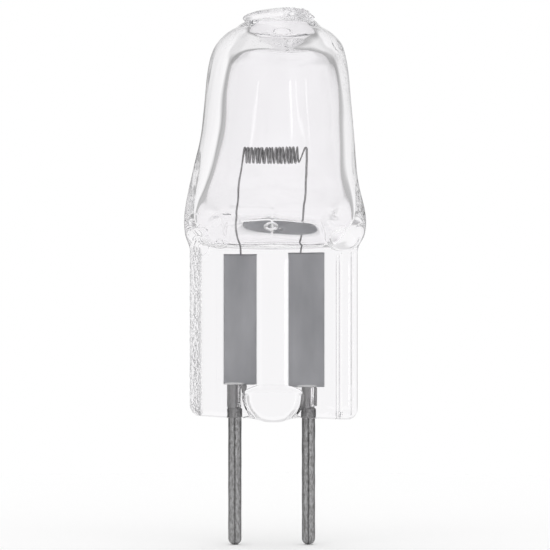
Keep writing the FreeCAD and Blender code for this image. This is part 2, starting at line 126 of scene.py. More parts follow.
def make_piece(name, sleeves, weld=0.0002):
    """Make one mesh of sleeves, each a grid of points in mm and whether its faces look inwards.

    Points closer than the weld's length become one, which closes every pole and folded edge.
    """
    points = np.concatenate([grid.reshape(-1, 3) for grid, _ in sleeves]) * MM
    faces, first = [], 0
    for grid, inwards in sleeves:
        faces.append(skin_faces(grid.shape[0], grid.shape[1], first, inwards))
        first += grid.shape[0] * grid.shape[1]
    mesh = bpy.data.meshes.new(name)
    mesh.from_pydata(points.tolist(), [], np.concatenate(faces).tolist())
    work = bmesh.new()
    work.from_mesh(mesh)
    bmesh.ops.remove_doubles(work, verts=work.verts, dist=weld * MM)
    bmesh.ops.dissolve_degenerate(work, edges=work.edges, dist=weld * MM / 2)
    open_edges = sum(1 for edge in work.edges if len(edge.link_faces) != 2)
    volume = work.calc_volume(signed=True) / MM ** 3
    work.to_mesh(mesh)
    work.free()
    mesh.shade_smooth()
    piece = bpy.data.objects.new(name, mesh)
    bpy.context.scene.collection.objects.link(piece)
    triangles = sum(len(face.vertices) - 2 for face in mesh.polygons)
    print(f"{name}: {triangles} triangles, {open_edges} open edges, volume {volume:.3f} mm3")
    return piece


print("mesh helpers: normals, faces and pieces")

# %% [markdown]
# The quartz envelope. On the real bulb one tube of quartz is blown, necked and pinched flat
# while it is soft, so it is one piece of glass from the melted tip to the seal. It could be
# sculpted or lofted, but a formula keeps both skins true: at each height the section is an
# ellipse, a flat plate with rounded edges, or a blend of the two, and tables read as a maker
# would read a drawing give its width, depth and centre at each height.

# %% Tables of the bulb's outer form
# height, half width, half depth, centre
OUTER = np.array([
    (9.20, 4.53, 1.30, 0.11),
    (9.55, 4.61, 1.40, 0.13),
    (9.90, 4.79, 1.78, 0.16),
    (10.35, 4.92, 2.28, 0.18),
    (10.90, 4.95, 2.66, 0.18),
    (11.80, 4.84, 3.02, 0.16),
    (12.90, 4.60, 3.32, 0.15),
    (14.10, 4.39, 3.57, 0.22),
    (15.40, 4.19, 3.76, 0.31),
    (16.70, 4.06, 3.89, 0.33),
    (17.70, 3.97, 3.95, 0.34),
    (18.70, 3.88, 3.88, 0.35),
    (19.50, 3.76, 3.76, 0.36),
    (20.10, 3.61, 3.61, 0.38),
    (20.55, 3.41, 3.41, 0.41),
    (20.95, 3.07, 3.07, 0.42),
    (21.25, 2.68, 2.68, 0.42),
    (21.45, 2.30, 2.30, 0.41),
])
PLATE_LEFT, PLATE_RIGHT = -4.42, 4.64
PLATE_HALF_WIDTH = (PLATE_RIGHT - PLATE_LEFT) / 2
PLATE_HALF_DEPTH = 1.30
PLATE_ROUND = 0.28
LOWER_CORNER = 0.62
PLATE_TOP, BULB_FOOT = 9.00, 11.10
AROUND = 256
print("outer levels:", len(OUTER), "points round each section:", AROUND)


# %% A plate's section, stepped evenly by length and turn
def plate_steps(around, half_width, half_depth, radius):
    """Return, for each point round a rectangle with round corners, its corner share and normal.

    A point is share * (half size - radius) + radius * normal, in each of x and y. Steps are
    equal in length plus turn, so that the round corners get enough points.
    """
    quarter = around // 4
    fine = 400
    flat = np.linspace(0, 1, fine)
    turn = flat * math.pi / 2
    ones, zeros = np.ones(fine), np.zeros(fine)
    share_x = np.concatenate([ones, ones, 1 - flat])
    share_y = np.concatenate([flat, ones, ones])
    normal_x = np.concatenate([ones, np.cos(turn), zeros])
    normal_y = np.concatenate([zeros, np.sin(turn), ones])
    x = share_x * (half_width - radius) + radius * normal_x
    y = share_y * (half_depth - radius) + radius * normal_y
    cost = np.hypot(np.diff(x), np.diff(y)) + 0.5 * np.hypot(np.diff(normal_x), np.diff(normal_y))
    along = np.concatenate([[0], np.cumsum(cost)])
    wanted = np.linspace(0, along[-1], quarter + 1)[:-1]
    values = (share_x, share_y, normal_x, normal_y)
    one_quarter = np.stack([np.interp(wanted, along, v) for v in values])
    backwards = np.linspace(along[-1], 0, quarter + 1)[:-1]
    next_quarter = np.stack([np.interp(backwards, along, v) for v in values])
    next_quarter[[0, 2]] *= -1
    half = np.concatenate([one_quarter, next_quarter], axis=1)
    return np.concatenate([half, -half], axis=1)


PLATE = plate_steps(AROUND, PLATE_HALF_WIDTH, PLATE_HALF_DEPTH, PLATE_ROUND)
EVEN_ROUND = np.arange(AROUND) * FULL_TURN / AROUND
# steps are shorter at the sides, where the oval bulb curves most and light grazes it
ROUND = EVEN_ROUND - 0.2 * np.sin(2 * EVEN_ROUND)
print("plate steps:", PLATE.shape)


# %% Section rows: an ellipse, a plate or a blend
def section_rows(height, half_width, half_depth, centre, flatness):
    """Set out one section for each height: (1 - flatness) * ellipse + flatness * plate."""
    a, b, c, w = (v[:, None] for v in (half_width, half_depth, centre, flatness))
    radius = np.minimum(PLATE_ROUND, b * 0.98)
    share_x, share_y, normal_x, normal_y = PLATE
    plate_x = share_x * (a - radius) + radius * normal_x
    plate_y = share_y * (b - radius) + radius * normal_y
    x = c + (1 - w) * a * np.cos(ROUND) + w * plate_x
    y = (1 - w) * b * np.sin(ROUND) + w * plate_y
    z = np.broadcast_to(height[:, None], x.shape)
    return np.stack([x, y, z], axis=-1)


print("a section is an ellipse at flatness 0 and a plate at 1")

# %% Rows of the pinched plate, with its foot closed
FOOT_ROWS, FOOT_HEIGHT = 16, 0.42


def foot_rows(count):
    """Close the plate's foot: depth falls as cos^(1/3) and height as 1 - sin^(1/3) of one angle.

    That is a superellipse of power 6, so the foot is nearly flat with a small rounded edge.
    """
    angle = np.linspace(math.pi / 2, 0, count, endpoint=False)
    height = FOOT_HEIGHT * (1 - np.sin(angle) ** (1 / 3))
    half_depth = PLATE_HALF_DEPTH * np.maximum(np.cos(angle), 0) ** (1 / 3)
    half_depth[0] = 0
    return height, half_depth


def plate_half_width(height):
    """Narrow the plate at its lower corners along a quarter circle."""
    drop = np.clip(LOWER_CORNER - height, 0, LOWER_CORNER)
    return PLATE_HALF_WIDTH - LOWER_CORNER + np.sqrt(LOWER_CORNER ** 2 - drop ** 2)


def plate_rows():
    """Give height, half width, half depth, centre and flatness up to the bulb's foot."""
    foot_height, foot_depth = foot_rows(FOOT_ROWS)
    height = np.concatenate([foot_height, np.arange(0.44, 9.2, 0.073)])
    half_depth = np.concatenate([foot_depth, np.full(len(height) - FOOT_ROWS, PLATE_HALF_DEPTH)])
    centre = np.full(len(height), (PLATE_LEFT + PLATE_RIGHT) / 2)
    return height, plate_half_width(height), half_depth, centre, np.ones(len(height))


def bulb_rows():
    """Give the same five values for the blown bulb, from the table of its outer form."""
    height = np.concatenate([np.arange(9.20, 11.2, 0.07), np.arange(11.2, 19.4, 0.22),
                             np.arange(19.4, 20.7, 0.09), np.arange(20.7, 21.46, 0.06)])
    width, depth, centre = (smooth_curve(OUTER, column, height) for column in (1, 2, 3))
    return height, width, depth, centre, 1 - smooth_step(height, PLATE_TOP, BULB_FOOT)


print("plate rows:", len(plate_rows()[0]), "bulb rows:", len(bulb_rows()[0]))

# %% [markdown]
# Unevenness. A hand-finished bulb is nowhere quite regular, and clear glass shows the least
# wave. Blender has noise textures, but a shape needs its noise before there is a mesh. A sum of
# a few plane waves with fixed directions is smooth, and it is the same in every run.

# %% A repeatable noise
def wave_noise(x, y, z, size, seed, waves=8):
    """Add up sines of direction * place + phase, and divide by about the root of their number."""
    random = np.random.default_rng(seed)
    total = np.zeros(np.broadcast(x, y, z).shape)
    for _ in range(waves):
        direction = random.normal(size=3)
        direction *= FULL_TURN / size / np.linalg.norm(direction) * random.uniform(0.7, 1.4)
        total += np.sin(x * direction[0] + y * direction[1] + z * direction[2] + random.uniform(0, FULL_TURN))
    return total / 2.8


print("noise at one place:", round(float(wave_noise(1.0, 2.0, 3.0, 0.5, 1)), 3))

# %% [markdown]
# The melted tip. The bulb is filled through an exhaust tube, which is then melted off and
# leaves a squashed, slightly tilted cap with a broken end on its right. The skin simply goes
# on: in at a neck, out to a lip and over a low crown. Flat planes then shave the right end,
# because broken quartz shows small flat chips and not round forms.

# %% The tip's rows
TIP_CENTRE = 0.40
TIP_TILT = math.radians(4.6)
# radius and height above the lip's plane, from the neck over the lip to the middle of the crown
TIP = np.array([
    (2.12, -0.44), (2.02, -0.37), (1.94, -0.29), (1.91, -0.21), (1.93, -0.13), (1.98, -0.06),
    (2.02, 0.00), (2.01, 0.07), (1.94, 0.14), (1.80, 0.21), (1.60, 0.27), (1.30, 0.33),
    (0.95, 0.37), (0.60, 0.395), (0.30, 0.405), (0.0, 0.41),
])
LIP_HEIGHT = 22.06


def tip_rows(count):
    """Turn the tip's profile about its centre, tilt it, and squash it a little in depth."""
    place = np.linspace(0, len(TIP) - 1, count)
    table = np.column_stack([np.arange(len(TIP)), TIP])
    radius = np.maximum(smooth_curve(table, 1, place), 0)
    rise = smooth_curve(table, 2, place)
    radius[-1] = 0
    wobble = 1 + 0.018 * np.sin(3 * ROUND + 0.6) + 0.012 * np.sin(5 * ROUND + 2.0)
    x = radius[:, None] * np.cos(ROUND) * wobble
    y = 0.97 * radius[:, None] * np.sin(ROUND) * wobble
    tilt = soft_step(rise, -0.44, -0.12)[:, None] * TIP_TILT
    z = LIP_HEIGHT + rise[:, None] + x * np.tan(tilt)
    return np.stack([TIP_CENTRE + x, y, z], axis=-1)


print("tip profile points:", len(TIP))

# %% The tip's broken end
# a chip's outward direction, and how far the chip's plane lies from the lip's right end
CHIPS = np.array([
    (0.97, -0.20, 0.12, -0.02), (0.80, -0.55, 0.22, -0.16), (0.62, -0.66, 0.42, -0.22),
    (0.90, 0.30, 0.30, -0.06), (0.55, 0.60, 0.50, -0.14), (0.86, -0.12, 0.50, 0.02),
    (0.35, -0.35, 0.87, -0.02), (0.30, 0.30, 0.91, -0.01), (0.70, -0.60, -0.38, -0.14),
])
CHIP_CORNER = np.array([2.40, 0.0, 22.26])


def break_end(points):
    """Shave the right end's points back onto each chip's plane, and ruffle the broken part.

    The ruffle is the size of a wave noise, so it has sharp valleys like those of broken glass.
    """
    x, y, z = np.moveaxis(points, -1, 0)
    near = (soft_step(x, 0.55, 1.1) * soft_step(z, 21.72, 21.98))[..., None]
    for *direction, distance in CHIPS:
        outwards = np.array(direction) / np.linalg.norm(direction)
        past = np.maximum((points - CHIP_CORNER) @ outwards - distance, 0)[..., None]
        points = points - near * past * outwards
    ruffle = 0.10 * np.abs(wave_noise(x, y, z, 0.62, 17)) + 0.03 * np.abs(wave_noise(x, y, z, 0.25, 18))
    broken = soft_step(x, 0.85, 1.25) * soft_step(z, 21.78, 22.0)
    return points - grid_normals(points) * (broken * ruffle)[..., None]


print("chips at the broken end:", len(CHIPS))

# %% [markdown]
# Press marks. The jaws that flatten the hot tube leave raised rails at its sides, a round boss
# between the pins, a shallow channel between the foils, a rough strip on the left edge and
# folded glass under both shoulders. Clear glass shows these only by the way they bend light, so
# they are real relief in the surface: each mark is a small amount by which points move along
# the surface's own normal.

# %% Rails, boss, channel and grooves
RAIL_RISE = 0.25
RAIL_LEFT, RAIL_RIGHT = 0.56, 1.02
BOSS_CENTRE, BOSS_HEIGHT, BOSS_RADIUS, BOSS_RISE = 0.08, 1.52, 1.52, 0.25
BOSS_TOP, CHANNEL_FOOT, CHANNEL_HALF, CHANNEL_RISE = 1.64, 1.97, 0.82, 0.05
# place across, width and depth
GROOVES = ((3.44, 0.05, -0.03), (4.26, 0.035, -0.03), (4.05, 0.08, 0.01))


def raise_rails(points):
    """Thicken the plate's side rails: y grows by a share that rises over the rail's inner edge."""
    x, height = points[..., 0], points[..., 2]
    left = 1 - soft_step(x, PLATE_LEFT + RAIL_LEFT - 0.10, PLATE_LEFT + RAIL_LEFT + 0.02)
    right = soft_step(x, PLATE_RIGHT - RAIL_RIGHT - 0.02, PLATE_RIGHT - RAIL_RIGHT + 0.12)
    share = RAIL_RISE / PLATE_HALF_DEPTH * (0.45 * left + right) * (1 - soft_step(height, 8.6, 9.5))
    points[..., 1] *= 1 + share
    return points


def boss_mark(x, z):
    """Raise the boss: a squarish half circle below, closed by two slants up to the channel's land.

    Its half width is radius * (1 - |(z - height) / radius|^2.8)^(1/2.8) up to the cut, and then falls in
    a straight line to the half width of the land between the foils.
    """
    down = np.clip(np.abs(z - BOSS_HEIGHT) / BOSS_RADIUS, 0, 1)
    below = BOSS_RADIUS * (1 - down ** 2.8) ** (1 / 2.8)
    share = np.clip((z - BOSS_TOP) / (CHANNEL_FOOT - BOSS_TOP), 0, 1)
    half_width = (1 - share) * below + share * CHANNEL_HALF
    inside = soft_step(half_width - np.abs(x - BOSS_CENTRE), -0.06, 0.34)
    rise = BOSS_RISE + (CHANNEL_RISE - BOSS_RISE) * soft_step(z, BOSS_TOP - 0.05, CHANNEL_FOOT + 0.05)
    return inside * rise * (1 - soft_step(z, 8.7, 9.2))


def plate_marks(x, y, z):
    """Add up the boss, the land between the foils and the fine lines that the jaws left.

    The lines are a sine of x, and each groove is a bell of depth * exp(-((x - place) / width)^2).
    """
    face = soft_step(np.abs(y), 0.9, 1.15)
    boss = boss_mark(x, z)
    left_lines = 0.012 * np.sin((x + 3.4) * 9.0) * soft_band(x, -3.8, -2.7, 0.3)
    grooves = sum(depth * np.exp(-((x - place) / width) ** 2) for place, width, depth in GROOVES)
    level = soft_band(z, 0.7, 8.9, 0.6)
    return face * (boss + (left_lines + grooves) * level)


print("boss stands", BOSS_RISE, "mm proud of the panel")


# %% Rough left edge, chipped right corner and the foot's line
# place across, height above the boss's lowest point
FOOT_LINE = np.array([
    (-4.6, 0.33), (-3.6, 0.29), (-2.5, 0.22), (-1.5, 0.20), (-1.05, 0.17), (-0.65, 0.08), (-0.15, 0.01),
    (0.35, 0.01), (0.75, 0.07), (1.1, 0.17), (1.5, 0.20), (2.2, 0.18), (3.2, 0.15), (4.2, 0.12), (4.8, 0.12),
])


def edge_marks(x, y, z):
    """Give the left edge its press marks, and the lower right corner its small chips.

    The press marks are a triangle wave of the height, slanted by the depth, plus a noise. The chips
    are the size of a noise, so that they have sharp valleys.
    """
    strip = (1 - soft_step(x, PLATE_LEFT + 0.42, PLATE_LEFT + 0.58)) * soft_band(z, 0.35, 9.3, 0.5)
    zigzag = np.abs(((z / 0.46 + 0.35 * np.abs(y) / 0.6) % 1) - 0.5) * 4 - 1
    rough = 0.5 * zigzag + wave_noise(x, y, z, 0.34, 3)
    chip = soft_step(x, 2.6, 3.2) * (1 - soft_step(z, 0.55, 0.8)) * np.abs(y) / PLATE_HALF_DEPTH
    return 0.010 * strip * rough - 0.020 * chip * np.abs(wave_noise(x, y, z, 0.34, 11))


def foot_line(x):
    """Return how far the plate's foot lies above the boss's lowest point, across the width."""
    return smooth_curve(FOOT_LINE, 1, np.clip(x, FOOT_LINE[0, 0], FOOT_LINE[-1, 0]))


print("foot at the left corner:", round(float(foot_line(np.array(-3.6))), 3), "mm")


# %% Folded glass under the shoulders, and the blown bulb's faint lines
def egg(x, z, centre_x, centre_z, half_width, half_height, lean, edge):
    """Be 1 inside a leaning ellipse and 0 outside it, blended over the edge's share of its radius."""
    across = (x - centre_x - lean * (z - centre_z)) / half_width
    upwards = (z - centre_z) / half_height
    return 1 - soft_step(np.hypot(across, upwards), 1 - edge, 1 + edge)


def shoulder_marks(x, y, z):
    """Add up the drop, the arc and the curl under the left shoulder and the pouch under the right."""
    face = soft_step(np.abs(y), 0.35, 0.9)
    drop = -0.08 * egg(x, z, -3.72, 9.46, 0.42, 0.56, 0.10, 0.30)
    arc = -0.05 * egg(x, z, -4.08, 10.12, 0.34, 0.36, 0.0, 0.35)
    curl = 0.06 * egg(x, z, -2.83, 9.72, 0.24, 0.20, 0.0, 0.35)
    pouch = 0.10 * egg(x, z, 3.90, 9.90, 0.72, 0.56, -0.12, 0.24)
    return face * (drop + arc + curl + pouch)


def bulb_marks(x, y, z):
    """Give the blown bulb slow waves, drawn lines up the wall and ripples across the dome's front.

    The lines are sines of the turn about the axis, and the ripples are a sine of the height.
    """
    turn = np.arctan2(y, x - 0.3)
    lines = 0.0035 * np.sin(17 * turn + 0.4) + 0.0025 * np.sin(29 * turn + 1.0 + 0.12 * z)
    slow = 0.012 * wave_noise(x, y, z, 3.2, 5)
    drawn = lines * soft_step(z, 12.0, 14.0) + slow * soft_step(z, 10.2, 11.4)
    ripples = 0.016 * np.sin((z - 20.0) * 9.5 + 0.8 * np.sin(2.2 * x))
    in_dome = soft_band(z, 19.6, 21.2, 0.6) * soft_band(x, -1.2, 2.1, 0.8)
    return drawn * (1 - soft_step(z, 20.9, 21.4)) + ripples * in_dome


print("folds under the shoulders: a drop, a curl and a pouch")


# %% [markdown]
# The gas space. The inner skin is worked out in the same way and faces into the hollow, so that
# a ray of light meets glass, gas and glass again in the right order. Its dark outline is the
# most telling line of the bulb: light that grazes the wall of the hollow is turned far aside.

# %% Tables of the gas space
# height, half width, half depth, centre
INNER = np.array([
    (9.80, 3.34, 0.00, 0.05),
    (9.84, 3.38, 0.15, 0.05),
    (9.93, 3.45, 0.36, 0.06),
    (10.20, 3.63, 0.53, 0.08),
    (10.58, 3.84, 0.76, 0.11),
    (10.92, 3.93, 0.97, 0.13),
    (11.35, 3.94, 1.27, 0.15),
    (11.75, 3.88, 1.58, 0.17),
    (12.30, 3.76, 1.98, 0.20),
    (12.85, 3.62, 2.30, 0.25),
    (13.60, 3.46, 2.59, 0.30),
    (14.76, 3.29, 2.83, 0.37),
    (16.70, 3.15, 3.02, 0.55),
    (17.80, 3.04, 3.04, 0.54),
    (18.84, 2.87, 2.87, 0.51),
    (19.45, 2.70, 2.70, 0.50),
    (19.85, 2.50, 2.50, 0.50),
    (20.12, 2.26, 2.26, 0.50),
    (20.38, 1.98, 1.98, 0.51),
    (20.75, 1.68, 1.68, 0.52),
    (21.10, 1.54, 1.54, 0.53),
    (21.35, 1.46, 1.46, 0.53),
    (21.52, 1.18, 1.18, 0.53),
    (21.60, 0.70, 0.70, 0.53),
])
INNER_AROUND = 200
INNER_TOP = 21.62
print("gas space levels:", len(INNER))

# %% [markdown]
# The hollow above the floor. The photo shows a dark eye there: the front wall of the gas space
# leans back so far that it mirrors the two foils below it. A dark spot could be painted, but
# the right slope gives the same picture for the same reason, and from every side.

# %% The floor's edge and the hollow
FLOOR_LINE, FLOOR_TOP, FLOOR_HALF_DEPTH = 9.80, 9.93, 0.36
BOWL_HEIGHT, BOWL_HALF, BOWL_CENTRE, BOWL_DEPTH = 10.74, 0.48, 0.52, 0.83
BOWL_LEAN, BOWL_REACH, BOWL_SPREAD, BOWL_DROP = -0.06, 2.25, 0.29, 0.25
BOWL_MOST = 1.3
FADE_MIDDLE, FADE_END, FADE_HEIGHTS = 0.15, 3.8, (11.1, 13.0)
RIDGE_RISE, RIDGE_HALF, RIDGE_CENTRE = 0.31, 1.15, 0.04


def floor_edge(z):
    """Close the floor along a quarter ellipse: the root of 1 - down^2, with down 1 at its line."""
    down = np.clip((FLOOR_TOP - z) / (FLOOR_TOP - FLOOR_LINE), 0, 1)
    return np.sqrt(1 - down ** 2)


def bowl(x, z):
    """Hollow out the gas space above its floor: how much deeper its front and back walls stand.

    The depth rises as 3/4 * (u - u^3 / 3 + 2 / 3) for u from -1 to 1, over a height that grows with
    the square of the way from the centre. So the wall is less steep at both sides, and the hollow
    fades out there and higher up. An upright ridge of rise * (1 - off / half)^2 parts the light,
    so that each half of the eye mirrors its own foil.
    """
    share = np.minimum(np.abs(x - BOWL_CENTRE) / BOWL_REACH, BOWL_MOST) ** 2
    half = BOWL_HALF + BOWL_SPREAD * share
    middle = BOWL_HEIGHT + BOWL_LEAN * (x - BOWL_CENTRE) - BOWL_DROP * share
    u = np.clip((z - middle) / half, -1, 1)
    hollow = BOWL_DEPTH * 0.75 * (u - u ** 3 / 3 + 2 / 3)
    hollow = hollow * (1 - soft_step(np.abs(x - FADE_MIDDLE), BOWL_REACH, FADE_END))
    ridge = RIDGE_RISE * (1 - np.minimum(np.abs(x - RIDGE_CENTRE) / RIDGE_HALF, 1)) ** 2
    return (hollow + ridge) * floor_edge(z) * (1 - smooth_step(z, *FADE_HEIGHTS))


print("the hollow is", round(float(bowl(np.array(0.5), np.array(11.1))), 2), "mm deep near its middle")

# %% The gas space's rows
def gas_rows():
    """Set out the gas space: ellipses from the table, closed by a line below and a point above.

    A point is x = centre + width * cos and y = depth * sin, plus the bowl's depth on both faces.
    """
    height = np.concatenate([[FLOOR_LINE, 9.805, 9.815], np.arange(9.83, 10.2, 0.04),
                             np.arange(10.2, 11.3, 0.05), np.arange(11.3, 12.2, 0.08),
                             np.arange(12.2, 19.2, 0.2), np.arange(19.2, 21.3, 0.06),
                             np.linspace(21.3, 21.60, 10)])
    width, depth, centre = (smooth_curve(INNER, column, height) for column in (1, 2, 3))
    depth = np.where(height < FLOOR_TOP, FLOOR_HALF_DEPTH * floor_edge(height), depth)
    height, width = np.append(height, INNER_TOP), np.append(width, 0)
    depth, centre = np.append(depth, 0), np.append(centre, INNER[-1, 3])
    turn = np.arange(INNER_AROUND) * FULL_TURN / INNER_AROUND
    turn = turn - 0.2 * np.sin(2 * turn) - 0.08 * np.sin(4 * turn)
    # points crowd together at the front and back, where the ridge's crest is sharp
    for middle in (0.25 * FULL_TURN, 0.75 * FULL_TURN):
        turn = turn - 0.8 * (turn - middle) * np.exp(-((turn - middle) / 0.15) ** 2)
    x = centre[:, None] + width[:, None] * np.cos(turn)
    z = np.broadcast_to(height[:, None], x.shape)
    across = np.sin(turn)
    y = depth[:, None] * across + bowl(x, z) * np.sign(across) * soft_step(np.abs(across), 0, 0.5)
    return np.stack([x, y, z], axis=-1)


print("gas space rows:", len(gas_rows()))


# %% [markdown]
# The bores. The quartz shrinks tightly round the ends of the pins, so there is a bore in the
# glass for each. It is a little narrower than the pin, because a gap would show as a bright
# film of air.

# %% The bores for the pins
def closed_tube(centre_x, radius, height, half_width, half_depth, around=48):
    """Set out a closed tube in rows: x = centre + radius * half width * cos, y = radius * half depth * sin.

    Centre and height have one entry for each row, and so has radius, a factor that is 0 at both
    ends.
    """
    turn = np.arange(around) * FULL_TURN / around
    x = centre_x[:, None] + (radius * half_width)[:, None] * np.cos(turn)
    y = (radius * half_depth)[:, None] * np.sin(turn)
    return np.stack([x, y, np.broadcast_to(height[:, None], x.shape)], axis=-1)


PIN_X = 2.0
PIN_RADIUS = 0.36
BORE_RADIUS, BORE_LOW, BORE_HIGH = 0.352, 0.45, 3.57


def pin_bore(centre_x):
    """Bore the glass just inside the pin's own surface, so that quartz and metal touch."""
    share = np.array([0, 0.6, 1, 1, 1, 0.6, 0])
    height = np.array([BORE_LOW, BORE_LOW, BORE_LOW, 2.0, BORE_HIGH, BORE_HIGH, BORE_HIGH])
    return closed_tube(np.full(len(share), centre_x), share, height, BORE_RADIUS, BORE_RADIUS)


BORES = [pin_bore(-PIN_X), pin_bore(PIN_X)]
print("bores for the pins:", len(BORES))


# %% Build the envelope
def outer_skin():
    """Join the plate's, the bulb's and the tip's rows, then press the marks into the surface."""
    rows = [np.concatenate(pair) for pair in zip(plate_rows(), bulb_rows())]
    points = section_rows(*rows)
    points = raise_rails(points)
    x, y, z = np.moveaxis(points, -1, 0)
    marks = plate_marks(x, y, z) + edge_marks(x, y, z) + shoulder_marks(x, y, z) + bulb_marks(x, y, z)
    marks *= soft_step(z, 0.02, 0.16)
    points = points + grid_normals(points) * marks[..., None]
    points[..., 2] += foot_line(points[..., 0]) * (1 - soft_step(points[..., 2], 0.3, 1.5))
    return break_end(np.concatenate([points, tip_rows(52)]))


def inner_skin():
    """Give the gas space slow waves and lines too, a little fainter than the outer skin's."""
    points = gas_rows()
    x, y, z = np.moveaxis(points, -1, 0)
    marks = 0.010 * wave_noise(x, y, z, 2.6, 8) * soft_band(z, 10.6, 21.0, 0.8)
    marks += 0.003 * np.sin(13 * np.arctan2(y, x - 0.4)) * soft_band(z, 11.0, 20.0, 0.8)
    return points + grid_normals(points) * marks[..., None]


envelope = make_piece("envelope_glass", [(outer_skin(), False), (inner_skin(), True)]
                      + [(bore, True) for bore in BORES])
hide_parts("envelope")
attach(envelope, "root")

# %% [markdown]
# The filament. One tungsten wire makes the left leg, almost sixteen turns of coil and a right leg
# with a sharp bend. A curve with a bevel would do, but a tube on a numpy path keeps every point
# of the wire where it is wanted: rings of points stand square to the path.

# %% A round tube along a path
def tube_along(path, radius, around):
    """Carry a circle along a path: centre + radius * (cos * side + sin * up), closed at both ends.

    side is the cross product of the path's direction and one slanting vector that the path never
    follows, and up is the cross product of side and direction.
    """
    direction = np.gradient(path, axis=0)
    direction /= np.linalg.norm(direction, axis=1, keepdims=True)
    side = np.cross(direction, (0.8, 0.6, 0.0))
    side /= np.linalg.norm(side, axis=1, keepdims=True)
    up = np.cross(direction, side)
    turn = np.arange(around) * FULL_TURN / around
    circle = np.cos(turn)[None, :, None] * side[:, None] + np.sin(turn)[None, :, None] * up[:, None]
    rings = path[:, None] + np.reshape(radius, (-1, 1, 1)) * circle
    first = np.broadcast_to(path[0], (1, around, 3))
    last = np.broadcast_to(path[-1], (1, around, 3))
    return np.concatenate([first, rings, last])


def even_path(points, step):
    """Place points at even steps along a path of straight runs."""
    points = np.asarray(points, float)
    along = np.concatenate([[0], np.cumsum(np.linalg.norm(np.diff(points, axis=0), axis=1))])
    wanted = np.linspace(0, along[-1], max(int(along[-1] / step), 2) + 1)
    return np.stack([np.interp(wanted, along, points[:, axis]) for axis in range(3)], axis=-1)


def soften(path, times):
    """Round a path's corners: each pass sets an inner point to the mean of itself and both neighbours."""
    for _ in range(times):
        path = np.concatenate([path[:1], (path[:-2] + path[1:-1] + path[2:]) / 3, path[-1:]])
    return path


print("path helpers: tube, even steps and softened corners")

# %% The wire's path
WIRE, COIL_WIRE = 0.10, 0.13
COIL_RADIUS = (1.0 - COIL_WIRE) / 2
COIL_LEFT, COIL_RIGHT, COIL_HEIGHT = -1.53, 1.41, 14.52
COIL_TURNS, POINTS_PER_TURN = 15.75, 36
LEG_STEP = 0.045


def coil_path():
    """Wind the coil round X: y = -radius * cos and z = height + radius * sin of an even turn.

    x grows evenly with a small wave, and the whole coil sags a little in its middle.
    """
    count = int(COIL_TURNS * POINTS_PER_TURN)
    share = np.linspace(0, 1, count)
    turn = share * COIL_TURNS * FULL_TURN
    sag = -0.035 * np.sin(share * math.pi)
    x = COIL_LEFT + (COIL_RIGHT - COIL_LEFT) * share + 0.022 * np.sin(share * 33.0 + 0.4)
    y = -COIL_RADIUS * np.cos(turn)
    z = COIL_HEIGHT + sag + COIL_RADIUS * np.sin(turn)
    return np.stack([x, y, z], axis=-1)


LEFT_LEG = [(-1.70, -0.30, 8.20), (-1.68, -0.30, 9.20), (-1.70, -0.28, 9.82), (-1.80, -0.26, 10.32),
            (-1.80, -0.28, 10.80), (-1.80, -0.31, 11.4), (-1.71, -0.38, 13.2), (-1.585, -0.44, 14.20)]
RIGHT_LEG = [(1.46, -0.30, 14.12), (1.62, -0.32, 14.42), (1.80, -0.30, 14.86), (1.86, -0.30, 14.97),
             (1.915, -0.30, 14.84), (1.915, -0.30, 14.25), (1.85, -0.30, 13.45), (1.66, -0.30, 12.1),
             (1.60, -0.30, 10.75), (1.50, -0.30, 10.02), (1.63, -0.30, 9.80), (1.57, -0.30, 9.2),
             (1.57, -0.30, 8.30)]


def wire_path():
    """Join the left leg, the coil and the right leg into one path with softened corners."""
    left = soften(even_path(LEFT_LEG, LEG_STEP), 3)
    right = soften(even_path(RIGHT_LEG, LEG_STEP), 2)
    path = np.concatenate([left, coil_path(), right])
    seam = np.r_[len(left) - 6:len(left) + 8, len(path) - len(right) - 8:len(path) - len(right) + 6]
    eased = soften(path, 6)
    path[seam] = eased[seam]
    in_coil = np.zeros(len(path))
    in_coil[len(left):len(path) - len(right)] = 1
    swell = np.convolve(in_coil, np.ones(15) / 15, mode="same")
    return path, WIRE / 2 + (COIL_WIRE - WIRE) / 2 * swell


filament = make_piece("filament_wire", [(tube_along(*wire_path(), 12), False)], weld=0.0001)
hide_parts("filament")
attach(filament, "root")

# %% [markdown]
# The foils. Thin molybdenum strips carry the current through the seal, because thick metal
# would crack the quartz as it cools. A strip could be a plain box, but rolled foil is never
# quite flat: each one is a closed grid with thin long edges, a slow wave, a slightly uneven cut
# at both ends and a lower edge that curls towards the viewer and catches the light.

# %% Foil strips
FOIL_DEPTH, FOIL_HALF_THICKNESS = -0.38, 0.015
FOIL_AROUND, FOIL_ROWS = 64, 90


